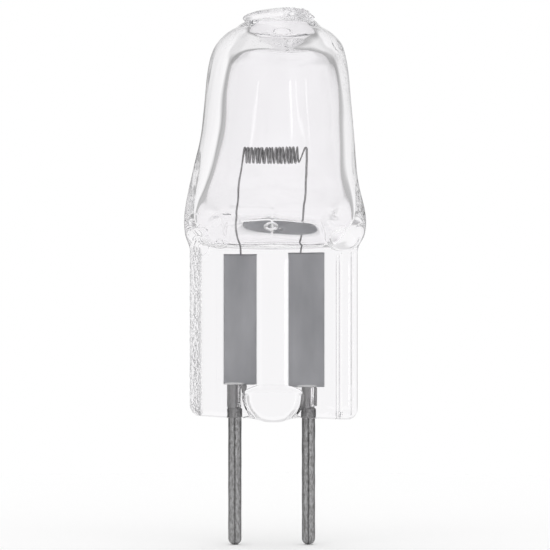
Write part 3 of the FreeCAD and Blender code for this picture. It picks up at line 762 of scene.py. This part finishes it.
def foil_strip(left, right, low, high, seed):
    """Carry a flat lens section up the strip: x = centre + half * cos, y = depth + thickness * sin.

    The thickness follows |sin| to a low power, so that the faces are flat and only the edges thin.
    """
    turn = np.arange(FOIL_AROUND) * FULL_TURN / FOIL_AROUND
    rise = np.concatenate([[0, 0], np.linspace(0, 1, FOIL_ROWS), [1, 1]])
    share = np.concatenate([[0, 0.9], np.ones(FOIL_ROWS), [0.9, 0]])
    side = np.sign(np.cos(turn)) * np.abs(np.cos(turn)) ** 0.7
    bulge = np.sign(np.sin(turn)) * np.abs(np.sin(turn)) ** 0.35
    half, centre = (right - left) / 2, (left + right) / 2
    x = centre + half * side * ((0.4 + 0.6 * share ** 0.5) * (share > 0))[:, None]
    z = np.broadcast_to(low + (high - low) * rise[:, None], x.shape)
    wave = 0.010 * wave_noise(x, 0.0, z, 2.4, seed)
    curl = -0.05 * np.exp(-(z - low) / 0.10)
    y = FOIL_DEPTH + FOIL_HALF_THICKNESS * share[:, None] * bulge + wave + curl
    ends = 0.012 * wave_noise(x, 0.0, 0.0, 0.5, seed + 1)
    z = z + ends * (soft_step(z, high - 0.3, high) + 1 - soft_step(z, low, low + 0.3))
    return np.stack([x, y, z], axis=-1)


# left, right, lower and upper edge, and the seed of the wave
FOILS = {"left": (-2.607, -0.805, 2.02, 9.08, 21), "right": (0.887, 2.862, 1.885, 9.17, 31)}
foils = {}
for side, sizes in FOILS.items():
    strip = make_piece(f"foil_{side}_strip", [(foil_strip(*sizes), False)])
    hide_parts(f"foil_{side}")
    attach(strip, "root")
    foils[side] = strip

# %% [markdown]
# The pins. Each is a stiff molybdenum rod, drawn through a die, cut and tumbled, so its end is
# rounded and fine grooves run along it. The profile is turned about the pin's axis, and the
# grooves are waves round the section that change only slowly along its length.

# %% A pin's profile and grooves
PIN_LOW, PIN_HIGH = -6.70, 3.60
PIN_END_ROUND = 0.33
COLLAR_LOW, COLLAR_HIGH, COLLAR_RISE = 0.24, 0.72, 0.05
PIN_AROUND = 80
GROOVE_COUNTS = (5, 7, 11, 13, 17, 23)


def draw_grooves(turn, height, seed):
    """Add up sines of count * turn + a phase + a slow sine of the height, one for each count."""
    random = np.random.default_rng(seed)
    return sum(random.uniform(0.3, 1) * np.sin(count * turn[None] + random.uniform(0, FULL_TURN)
                                               + 0.25 * np.sin(height[:, None] * random.uniform(0.3, 0.9)))
               for count in GROOVE_COUNTS)


def pin_rod(centre_x, sealed_shift, sealed_squeeze, seed):
    """Turn the rod's profile: a rounded lower end, a long shank and a flat upper end.

    A point is radius * (1 + grooves) + dents, times the cos and sin of its turn. Where the quartz
    grips it, the rod is squeezed a little across and moved aside, and at the mouth of the seal it
    has a rough collar.
    """
    turn = np.arange(PIN_AROUND) * FULL_TURN / PIN_AROUND
    end_angle = np.linspace(0, math.pi / 2, 14)
    end_radius = PIN_RADIUS - PIN_END_ROUND + PIN_END_ROUND * np.sin(end_angle)
    end_height = PIN_LOW + PIN_END_ROUND * (1 - np.cos(end_angle))
    shank = np.concatenate([np.linspace(PIN_LOW + PIN_END_ROUND + 0.05, 0.1, 90),
                            np.linspace(0.15, 0.85, 24), np.linspace(0.95, PIN_HIGH - 0.02, 30)])
    height = np.concatenate([[PIN_LOW], end_height, shank, [PIN_HIGH, PIN_HIGH]])
    radius = np.concatenate([[0], end_radius, np.full(len(shank), PIN_RADIUS), [PIN_RADIUS - 0.03, 0]])
    grooves = draw_grooves(turn, height, seed)
    level = height[:, None]
    dents = 0.004 * wave_noise(np.cos(turn)[None], np.sin(turn)[None], level, 1.2, seed)
    rough = 1 + 0.12 * wave_noise(np.cos(turn)[None], np.sin(turn)[None], level * 3, 0.8, seed + 5)
    collar = COLLAR_RISE * soft_band(level, COLLAR_LOW, COLLAR_HIGH, 0.07) * rough
    whole = radius[:, None] > 0.3
    slim = np.minimum(radius[:, None] / PIN_RADIUS, 1)
    full = radius[:, None] * (1 + 0.005 * grooves * slim) + (dents + collar) * whole
    sealed = soft_step(level, COLLAR_HIGH - 0.02, COLLAR_HIGH + 0.10)
    x = centre_x + sealed_shift * sealed + full * np.cos(turn) * (1 - sealed_squeeze * sealed)
    y = full * np.sin(turn)
    return np.stack([x, y, np.broadcast_to(level, x.shape)], axis=-1)


print("a pin is", round(PIN_HIGH - PIN_LOW, 2), "mm long")


# %% The burrs, and both pins
BURR_HALF_DEPTH, BURR_PLACE = 0.05, -0.12


def pin_burr(foot, top, foot_half, top_half):
    """Draw the thin burr pressed out beside a pin's end: an oval section that tapers downwards.

    Its ends close as the root of 1 - |2 * rise - 1|^24, so they are almost flat.
    """
    rise = np.linspace(0, 1, 36)
    half = foot_half + (top_half - foot_half) * rise
    ends = np.sqrt(np.clip(1 - np.abs(2 * rise - 1) ** 24, 0, 1))
    centre = foot[0] + (top[0] - foot[0]) * rise
    height = foot[1] + (top[1] - foot[1]) * rise
    burr = closed_tube(centre, ends, height, half, BURR_HALF_DEPTH, around=24)
    burr[..., 1] += BURR_PLACE
    return burr


# place, shift and squeeze in the seal, seed and burr
PINS = {
    "left": (-PIN_X, -0.086, 0.07, 41, pin_burr((-1.47, 0.78), (-1.51, 2.03), 0.03, 0.17)),
    "right": (PIN_X, -0.098, 0.23, 43, pin_burr((2.40, 0.84), (2.37, 1.88), 0.06, 0.095)),
}
pins = {}
for side, (place, shift, squeeze, seed, burr) in PINS.items():
    rod = make_piece(f"pin_{side}_rod", [(pin_rod(place, shift, squeeze, seed), False), (burr, False)])
    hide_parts(f"pin_{side}")
    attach(rod, "root")
    pins[side] = rod

# %% [markdown]
# The finishes. A material in Blender is a small net of nodes. The patterns here are worked out
# by nodes and read the Object coordinates, which are the piece's own axes, so they stay on the
# piece when it moves and need no picture. Each helper adds one kind of node and hands back its
# output, and a finish then reads like a short formula.

# %% Materials, noises, ramps and bumps
def new_material(name):
    """Start a material and return it with its nodes and its main shader."""
    material = bpy.data.materials.new(name)
    material.use_nodes = True
    tree = material.node_tree
    return material, tree, tree.nodes["Principled BSDF"]


def object_noise(tree, scale, stretch=(1, 1, 1), detail=4.0):
    """Add a noise pattern on Object coordinates, stretched along an axis by a Mapping node."""
    place = tree.nodes.new("ShaderNodeTexCoord")
    mapping = tree.nodes.new("ShaderNodeMapping")
    mapping.inputs["Scale"].default_value = stretch
    noise = tree.nodes.new("ShaderNodeTexNoise")
    noise.inputs["Scale"].default_value = scale
    noise.inputs["Detail"].default_value = detail
    tree.links.new(place.outputs["Object"], mapping.inputs["Vector"])
    tree.links.new(mapping.outputs["Vector"], noise.inputs["Vector"])
    return noise.outputs["Fac"]


def ramp_between(tree, source, stops):
    """Turn a pattern's value into colours at the given places."""
    ramp = tree.nodes.new("ShaderNodeValToRGB")
    elements = ramp.color_ramp.elements
    while len(elements) < len(stops):
        elements.new(0.5)
    for element, (place, colour) in zip(elements, stops):
        element.position = place
        element.color = (*colour, 1)
    tree.links.new(source, ramp.inputs["Fac"])
    return ramp.outputs["Color"]


def add_bump(tree, shader, source, strength, distance):
    """Raise the surface's shading by a pattern; the distance is in millimetres."""
    bump = tree.nodes.new("ShaderNodeBump")
    bump.inputs["Strength"].default_value = strength
    bump.inputs["Distance"].default_value = distance * MM
    tree.links.new(source, bump.inputs["Height"])
    tree.links.new(bump.outputs["Normal"], shader.inputs["Normal"])


print("pattern helpers: noise, ramp and bump")


# %% Sums with nodes
def math_node(tree, operation, *values):
    """Add one math node; each value is a number or another node's output."""
    node = tree.nodes.new("ShaderNodeMath")
    node.operation = operation
    for socket, value in zip(node.inputs, values):
        if isinstance(value, (int, float)):
            socket.default_value = value
        else:
            tree.links.new(value, socket)
    return node.outputs[0]


def product(tree, first, *others):
    """Multiply two or more values."""
    for value in others:
        first = math_node(tree, "MULTIPLY", first, value)
    return first


def add_share(tree, base, share, value):
    """Add a share of one value to another: base + share * value."""
    return math_node(tree, "MULTIPLY_ADD", value, share, base)


def off_place(tree, value, place):
    """Give how far a value lies from a place, to either side."""
    return math_node(tree, "ABSOLUTE", math_node(tree, "SUBTRACT", value, place))


print("sum helpers: product, share and distance")


# %% Places, fades and choices
def own_axes(tree):
    """Give the place along the piece's own three axes, in metres."""
    place = tree.nodes.new("ShaderNodeTexCoord")
    split = tree.nodes.new("ShaderNodeSeparateXYZ")
    tree.links.new(place.outputs["Object"], split.inputs[0])
    return split.outputs


def fade(tree, source, start, end):
    """Rise smoothly from 0 to 1 while the source goes from start to end, both in millimetres."""
    node = tree.nodes.new("ShaderNodeMapRange")
    node.interpolation_type = "SMOOTHSTEP"
    node.inputs["From Min"].default_value = start * MM
    node.inputs["From Max"].default_value = end * MM
    tree.links.new(source, node.inputs["Value"])
    return node.outputs[0]


def choose(tree, condition, first, second):
    """Mix from the first level to the second by a condition from 0 to 1."""
    node = tree.nodes.new("ShaderNodeMix")
    node.data_type = "RGBA"
    tree.links.new(condition, node.inputs[0])
    for socket, value in ((node.inputs[6], first), (node.inputs[7], second)):
        if isinstance(value, (int, float)):
            socket.default_value = (value, value, value, 1)
        else:
            tree.links.new(value, socket)
    return node.outputs[2]


print("place helpers: axes, fade and choice")

# %% [markdown]
# Quartz. Fused quartz is clear and colourless and bends light by 1.458. The jaws also leave
# marks that are finer than the mesh: a rough strip, thin upright lines and creases where the
# glass folded. The mesh is already near the most triangles that a piece should have, so a bump
# carries them: it only turns the direction in which the glass bends a ray. All marks are added
# up to one height.

# %% The rough strip and the thin lines
# place across, half width and rise of each thin line
THIN_LINES = (
    (3.62, 0.05, -0.30), (3.79, 0.05, -0.22), (4.26, 0.05, -0.25), (4.50, 0.04, -0.15),
    (-2.95, 0.09, 0.12), (-3.20, 0.10, 0.10), (-2.75, 0.05, -0.10),
)
STRIP_WIDTH, STRIP_EDGE, STRIP_RISE = 0.50, 0.08, 5.5


def jaw_marks(tree, sideways, height):
    """Roughen the left edge by a noise, and add each line's rise, which fades to both sides."""
    above_foot = product(tree, fade(tree, height, 0.1, 0.4), fade(tree, height, 9.6, 9.0))
    strip_end = PLATE_LEFT + STRIP_WIDTH
    strip = product(tree, fade(tree, sideways, strip_end + STRIP_EDGE, strip_end), above_foot)
    knurl = product(tree, object_noise(tree, 7000, (1, 1, 0.7), 2.0), strip, STRIP_RISE)
    lines = 0.0
    for place, width, rise in THIN_LINES:
        line = product(tree, fade(tree, sideways, place - width, place),
                       fade(tree, sideways, place + width, place))
        lines = add_share(tree, lines, rise, line)
    return math_node(tree, "MULTIPLY_ADD", lines, above_foot, knurl)


print("thin lines:", len(THIN_LINES))

# %% Creases along an ellipse
# centre, half sizes, lean, the line's width, which half is drawn (1 upper, -1 lower, 0 both), rise
CREASES = (
    ((-3.71, 9.45), (0.45, 0.58), 0.10, 0.07, 0, -0.7),
    ((-4.07, 10.08), (0.38, 0.42), 0.0, 0.12, 1, -1.2),
    ((-3.95, 9.85), (0.26, 0.22), 0.0, 0.08, 1, -0.8),
    ((3.92, 9.98), (0.82, 0.65), 0.0, 0.09, -1, -0.9),
    ((-2.81, 9.74), (0.20, 0.17), 0.0, 0.06, 0, -0.7),
    ((0.08, 1.52), (1.48, 1.60), 0.0, 0.22, -1, -3.2),
)
FLOOR_RING = ((-0.03, 10.78), (0.29, 0.12), 0.0, 0.10, 0)
DOME_RING = ((0.56, 21.00), (0.50, 0.20), 0.0, 0.12, 0)


def crease(tree, sideways, height, centre, halves, lean, width, half):
    """Draw a narrow line along a leaning ellipse: all of it, or only its upper or lower half.

    The line is highest where the root of (across / half width)^2 + (up / half height)^2 is 1.
    """
    up = math_node(tree, "SUBTRACT", height, centre[1] * MM)
    across = math_node(tree, "SUBTRACT", add_share(tree, sideways, -lean, up), centre[0] * MM)
    shares = [math_node(tree, "DIVIDE", value, size * MM) for value, size in zip((across, up), halves)]
    ring = math_node(tree, "SQRT", math_node(tree, "ADD", *[product(tree, v, v) for v in shares]))
    line = fade(tree, product(tree, off_place(tree, ring, 1.0), halves[0] * MM), width, 0.0)
    if half:
        line = product(tree, line, fade(tree, product(tree, up, half), -0.1, 0.1))
    return line


print("creases:", len(CREASES), "and two rings")


# %% Quartz
def quartz_finish():
    """Make clear glass, with all fine marks as one bump of 0.05 mm for each unit of their height."""
    material, tree, shader = new_material("clear_quartz")
    shader.inputs["Base Color"].default_value = (0.960, 0.952, 0.964, 1)
    shader.inputs["Roughness"].default_value = 0.0
    shader.inputs["IOR"].default_value = 1.458
    shader.inputs["Transmission Weight"].default_value = 1.0
    sideways, depth, height = own_axes(tree)
    relief = jaw_marks(tree, sideways, height)
    for *shape, rise in CREASES:
        relief = add_share(tree, relief, rise, crease(tree, sideways, height, *shape))
    # one ring lies in the gas space's floor and not on the outer skin, the other in the dome's front
    inside = fade(tree, math_node(tree, "ABSOLUTE", depth), 1.95, 1.75)
    in_front = fade(tree, depth, -2.0, -2.4)
    for shape, where, rise in ((FLOOR_RING, inside, 1.3), (DOME_RING, in_front, 1.2)):
        ring = product(tree, crease(tree, sideways, height, *shape), where)
        relief = add_share(tree, relief, rise, ring)
    relief = add_share(tree, relief, 0.05, object_noise(tree, 900, detail=2.0))
    add_bump(tree, shader, relief, 1.0, 0.05)
    print("quartz bends light by", round(shader.inputs["IOR"].default_value, 3))
    return material


envelope.data.materials.append(quartz_finish())

# %% [markdown]
# Tungsten. Drawn wire shines, but a filament that has been fired is a dull dark grey with a
# grain. One noise gives the grain both its tone and its relief, so that light and dark spots
# match the small pits of the surface.


# %% Tungsten
def new_metal(name, roughness):
    """Start a metal with an even roughness."""
    material, tree, shader = new_material(name)
    shader.inputs["Metallic"].default_value = 1.0
    shader.inputs["Roughness"].default_value = roughness
    return material, tree, shader


def tungsten_finish():
    """Run the grain from dark to lighter grey."""
    material, tree, shader = new_metal("fired_tungsten", 0.42)
    grain = object_noise(tree, 6000)
    tone = ramp_between(tree, grain, [(0.35, (0.27, 0.265, 0.27)), (0.65, (0.46, 0.455, 0.46))])
    tree.links.new(tone, shader.inputs["Base Color"])
    add_bump(tree, shader, grain, 0.3, 0.01)
    return material


filament.data.materials.append(tungsten_finish())
print("filament:", filament.data.materials[0].name)

# %% [markdown]
# Molybdenum foil. Rolled foil is a matt bluish grey with a faint cloudy grain. A painted highlight
# brightens the middle of each lower edge, near the pin's weld. It follows the edge in a low arch,
# so it is found from the height above the edge and the distance from the weld.

# %% Foil
# places of the welds, how much higher the left foil's lower edge lies, and the painted highlight's top and
# half width
WELD_LEFT, WELD_RIGHT = -2.05, 1.90
LEFT_EDGE_ABOVE = 0.135
HIGHLIGHT_HEIGHT, HIGHLIGHT_HALF = 2.17, 0.62


def painted_highlight_rim(tree, sideways, height):
    """Be 1 where the painted highlight lies: below the arch height + 0.12 * off^2, near the middle of the
    lower edge, and else 0.
    """
    on_right = math_node(tree, "GREATER_THAN", sideways, 0.0)
    edge_height = add_share(tree, height, LEFT_EDGE_ABOVE * MM, on_right)
    from_left_weld = math_node(tree, "SUBTRACT", sideways, WELD_LEFT * MM)
    off_weld = math_node(tree, "ABSOLUTE",
                         add_share(tree, from_left_weld, (WELD_LEFT - WELD_RIGHT) * MM, on_right))
    off_in_mm = math_node(tree, "DIVIDE", off_weld, MM)
    arch = add_share(tree, edge_height, 0.12 * MM, product(tree, off_in_mm, off_in_mm))
    return product(tree, fade(tree, arch, HIGHLIGHT_HEIGHT, HIGHLIGHT_HEIGHT - 0.06),
                   fade(tree, off_weld, HIGHLIGHT_HALF, HIGHLIGHT_HALF - 0.22))


def foil_finish():
    """Run a stretched cloud from mid to light bluish grey, and paint a highlight along the middle of each
    lower edge.
    """
    material, tree, shader = new_metal("rolled_foil", 0.55)
    cloud = object_noise(tree, 700, (1, 1, 0.35), 6.0)
    tone = ramp_between(tree, cloud, [(0.30, (0.455, 0.460, 0.480)), (0.70, (0.605, 0.610, 0.630))])
    sideways, _, height = own_axes(tree)
    # painted highlight: a near-white colour along the middle of each lower edge
    with_painted_highlight = choose(tree, painted_highlight_rim(tree, sideways, height), tone, 0.98)
    tree.links.new(with_painted_highlight, shader.inputs["Base Color"])
    add_bump(tree, shader, object_noise(tree, 9000, (1, 1, 0.2)), 0.25, 0.01)
    return material


rolled = foil_finish()
for strip in foils.values():
    strip.data.materials.append(rolled)
print("foils share", rolled.name)

# %% [markdown]
# Drawn molybdenum. The die leaves marks along the rod. A painted dark reflection runs down the
# middle of the rod's front and back, and painted shade darkens both its sides. In the quartz the
# rod is lighter, calmer and less shiny, and has neither. So each of these effects is a factor that
# changes where the rod enters the glass, and their product sets the tone.

# %% Pins' finish
# painted darkening, and the distances from the rod's middle over which it sets in
PAINTED_REFLECTION_LINE = (0.55, 0.055, 0.015)
PAINTED_FLANK_SHADE = (0.50, 0.24, 0.35)


def pin_finish():
    """Multiply the marks' tone by 1 - the darker of painted line and painted flank shade, and by a gain in
    the glass.
    """
    material, tree, shader = new_metal("drawn_pin", 0.34)
    sideways, _, height = own_axes(tree)
    in_glass = fade(tree, height, 0.1, 0.9)
    tree.links.new(add_share(tree, 0.34, 0.22, in_glass), shader.inputs["Roughness"])
    contrast = add_share(tree, 1.0, -0.75, in_glass)
    grain = math_node(tree, "SUBTRACT", object_noise(tree, 11000, (1, 1, 0.4)), 0.5)
    marks = math_node(tree, "MULTIPLY_ADD", grain, contrast, 0.5)
    tone = ramp_between(tree, marks, [(0.32, (0.20, 0.195, 0.193)), (0.68, (0.43, 0.43, 0.437))])
    off_middle = off_place(tree, math_node(tree, "ABSOLUTE", sideways), PIN_X * MM)
    # painted dark reflection down the middle and painted shade at the flanks, only outside the glass
    outside = (fade(tree, height, 0.5, 0.1), fade(tree, height, 0.9, 0.6))
    dark = [product(tree, fade(tree, off_middle, start, end), where, depth)
            for (depth, start, end), where in zip((PAINTED_REFLECTION_LINE, PAINTED_FLANK_SHADE), outside)]
    shade = math_node(tree, "SUBTRACT", 1.0, math_node(tree, "MAXIMUM", *dark))
    shaded = tree.nodes.new("ShaderNodeVectorMath")
    shaded.operation = "SCALE"
    tree.links.new(tone, shaded.inputs[0])
    tree.links.new(product(tree, shade, add_share(tree, 1.0, 0.6, in_glass)), shaded.inputs["Scale"])
    tree.links.new(shaded.outputs[0], shader.inputs["Base Color"])
    add_bump(tree, shader, marks, 0.35, 0.01)
    return material


drawn = pin_finish()
for rod in pins.values():
    rod.data.materials.append(drawn)
print("pins share", drawn.name)

# %% [markdown]
# The floor. The bulb stands on its pins on a white floor. A plane would do, but a round sheet
# with rings of points is made by the same helper as all else. It is staging and not a piece of
# the bulb, and it only catches the soft shadow of the pins.

# %% The floor
FLOOR_RINGS = np.array([0, 10, 20, 40, 60])
FLOOR_HEIGHT = PIN_LOW - 0.002
turn = np.arange(96) * FULL_TURN / 96
floor_x = FLOOR_RINGS[:, None] * np.cos(turn)
floor_y = FLOOR_RINGS[:, None] * np.sin(turn)
floor_points = np.stack([floor_x, floor_y, np.full(floor_x.shape, FLOOR_HEIGHT)], axis=-1)
floor = make_piece("floor", [(floor_points, False)])
pale, _, shader = new_material("pale_floor")
shader.inputs["Base Color"].default_value = (1.0, 1.0, 1.0, 1)
shader.inputs["Roughness"].default_value = 1.0
shader.inputs["Specular IOR Level"].default_value = 0.0
floor.data.materials.append(pale)
print("the floor lies at", round(FLOOR_HEIGHT, 3), "mm")

# %% [markdown]
# The light. Clear glass has almost no colour, so a photographer shows it on a bright field with
# dark sides: straight behind it is white, and darker walls stand well to both sides, where only
# rays that the glass edges bend strongly end up. The world does the same here. Plain surfaces
# and the camera meet an even level of one, and the Light Path node tells bent and mirrored rays
# apart, which see the walls.

# %% Levels round the bulb
# places run once round the bulb: 0.5 is straight behind it, less is to its left, 0 and 1 are in front
BENT_SIDES = ((0.0, 1.0), (0.06, 1.0), (0.12, 0.62), (0.34, 0.50), (0.352, 0.40), (0.366, 0.72),
              (0.385, 1.0), (0.588, 1.0), (0.607, 0.76), (0.625, 0.58), (0.64, 0.52), (0.72, 0.45),
              (0.88, 0.50), (0.94, 1.0), (1.0, 1.0))
MIRRORED_SIDES = ((0.0, 0.05), (0.03, 0.05), (0.05, 0.75), (0.27, 0.80), (0.31, 0.20), (0.46, 0.20),
                  (0.49, 0.9), (0.51, 0.9), (0.54, 0.30), (0.69, 0.25), (0.73, 0.80), (0.95, 0.75),
                  (0.97, 0.05), (1.0, 0.05))
# heights run from 0 at the horizon to 1 straight above
OVERHEAD = ((0.19, 1.0), (0.26, 0.78), (0.36, 0.80), (0.46, 0.90))
# place, half width and strength of each narrow window in front, which the wall mirrors as a streak
WINDOWS = ((0.0953, 0.008, 3.0), (0.9467, 0.009, 5.0), (0.9106, 0.005, 2.5), (0.882, 0.005, 3.5))


def grey_ramp(tree, source, stops):
    """Turn a value from 0 to 1 into a level of grey."""
    return ramp_between(tree, source, [(place, (grey,) * 3) for place, grey in stops])


def window_light(tree, way_round, upwards):
    """Add up the windows: each is brightest in its middle and falls in straight lines to its sides."""
    light = 0.0
    for place, width, strength in WINDOWS:
        share = math_node(tree, "DIVIDE", off_place(tree, way_round, place), width)
        inside = math_node(tree, "MAXIMUM", math_node(tree, "SUBTRACT", 1.0, share), 0.0)
        light = add_share(tree, light, strength, inside)
    return product(tree, light, math_node(tree, "LESS_THAN", off_place(tree, upwards, -0.02), 0.16))


print("windows:", len(WINDOWS))


# %% The world
def sky_angles(tree):
    """Give a ray's way round and its height above the horizon, each as a share of its range."""
    direction = tree.nodes.new("ShaderNodeTexCoord")
    parts = tree.nodes.new("ShaderNodeSeparateXYZ")
    tree.links.new(direction.outputs["Generated"], parts.inputs[0])
    from_back = math_node(tree, "ARCTAN2", parts.outputs[0], parts.outputs[1])
    way_round = math_node(tree, "MULTIPLY_ADD", from_back, 1 / FULL_TURN, 0.5)
    return way_round, math_node(tree, "DIVIDE", math_node(tree, "ARCSINE", parts.outputs[2]), math.pi / 2)


world = bpy.data.worlds.new("studio")
bpy.context.scene.world = world
world.use_nodes = True
tree = world.node_tree
background = tree.nodes["Background"]
path = tree.nodes.new("ShaderNodeLightPath")
way_round, upwards = sky_angles(tree)
above_floor = tree.nodes.new("ShaderNodeMapRange")
above_floor.inputs["From Min"].default_value = -0.16
above_floor.inputs["From Max"].default_value = -0.09
tree.links.new(upwards, above_floor.inputs["Value"])
overhead = grey_ramp(tree, upwards, OVERHEAD)
bent_sides = grey_ramp(tree, way_round, BENT_SIDES)
mirrored_sides = math_node(tree, "ADD", grey_ramp(tree, way_round, MIRRORED_SIDES),
                           window_light(tree, way_round, upwards))
bent = choose(tree, above_floor.outputs[0], 1.0, product(tree, bent_sides, overhead))
mirrored = choose(tree, above_floor.outputs[0], 0.9, product(tree, mirrored_sides, overhead))
level = choose(tree, path.outputs["Is Glossy Ray"], 1.0, mirrored)
level = choose(tree, path.outputs["Is Transmission Ray"], level, bent)
level = choose(tree, path.outputs["Is Camera Ray"], level, 1.0)
tree.links.new(level, background.inputs["Color"])
background.inputs["Strength"].default_value = 1.0
print("world:", len(tree.nodes), "nodes")

# %% [markdown]
# The camera. The photo was taken straight from the front with a long lens, level with the
# middle of the bulb. Its width of view at the bulb's middle plane is known from the spacing of
# the pins, so the camera's distance follows from the lens.

# %% The camera
VIEW_WIDTH = 29.93
VIEW_CENTRE = (0.18, 7.96)
LENS, SENSOR = 200.0, 36.0
camera_data = bpy.data.cameras.new("camera")
camera_data.lens = LENS
camera_data.sensor_width = SENSOR
camera_data.clip_start = 0.001
camera_data.clip_end = 10
camera = bpy.data.objects.new("camera", camera_data)
bpy.context.scene.collection.objects.link(camera)
distance = VIEW_WIDTH / (SENSOR / LENS)
camera.location = (VIEW_CENTRE[0] * MM, -distance * MM, VIEW_CENTRE[1] * MM)
camera.rotation_euler = (math.pi / 2, 0, 0)
bpy.context.scene.camera = camera
print("camera stands", round(distance, 1), "mm in front")

# %% Turns of light and the view
# light that the glass traps needs many turns before it comes out again
LIGHT_TURNS = 40
light_paths = bpy.context.scene.cycles
light_paths.max_bounces = light_paths.glossy_bounces = light_paths.transmission_bounces = LIGHT_TURNS
bpy.context.scene.view_settings.view_transform = "Standard"
print("a ray may turn", LIGHT_TURNS, "times")
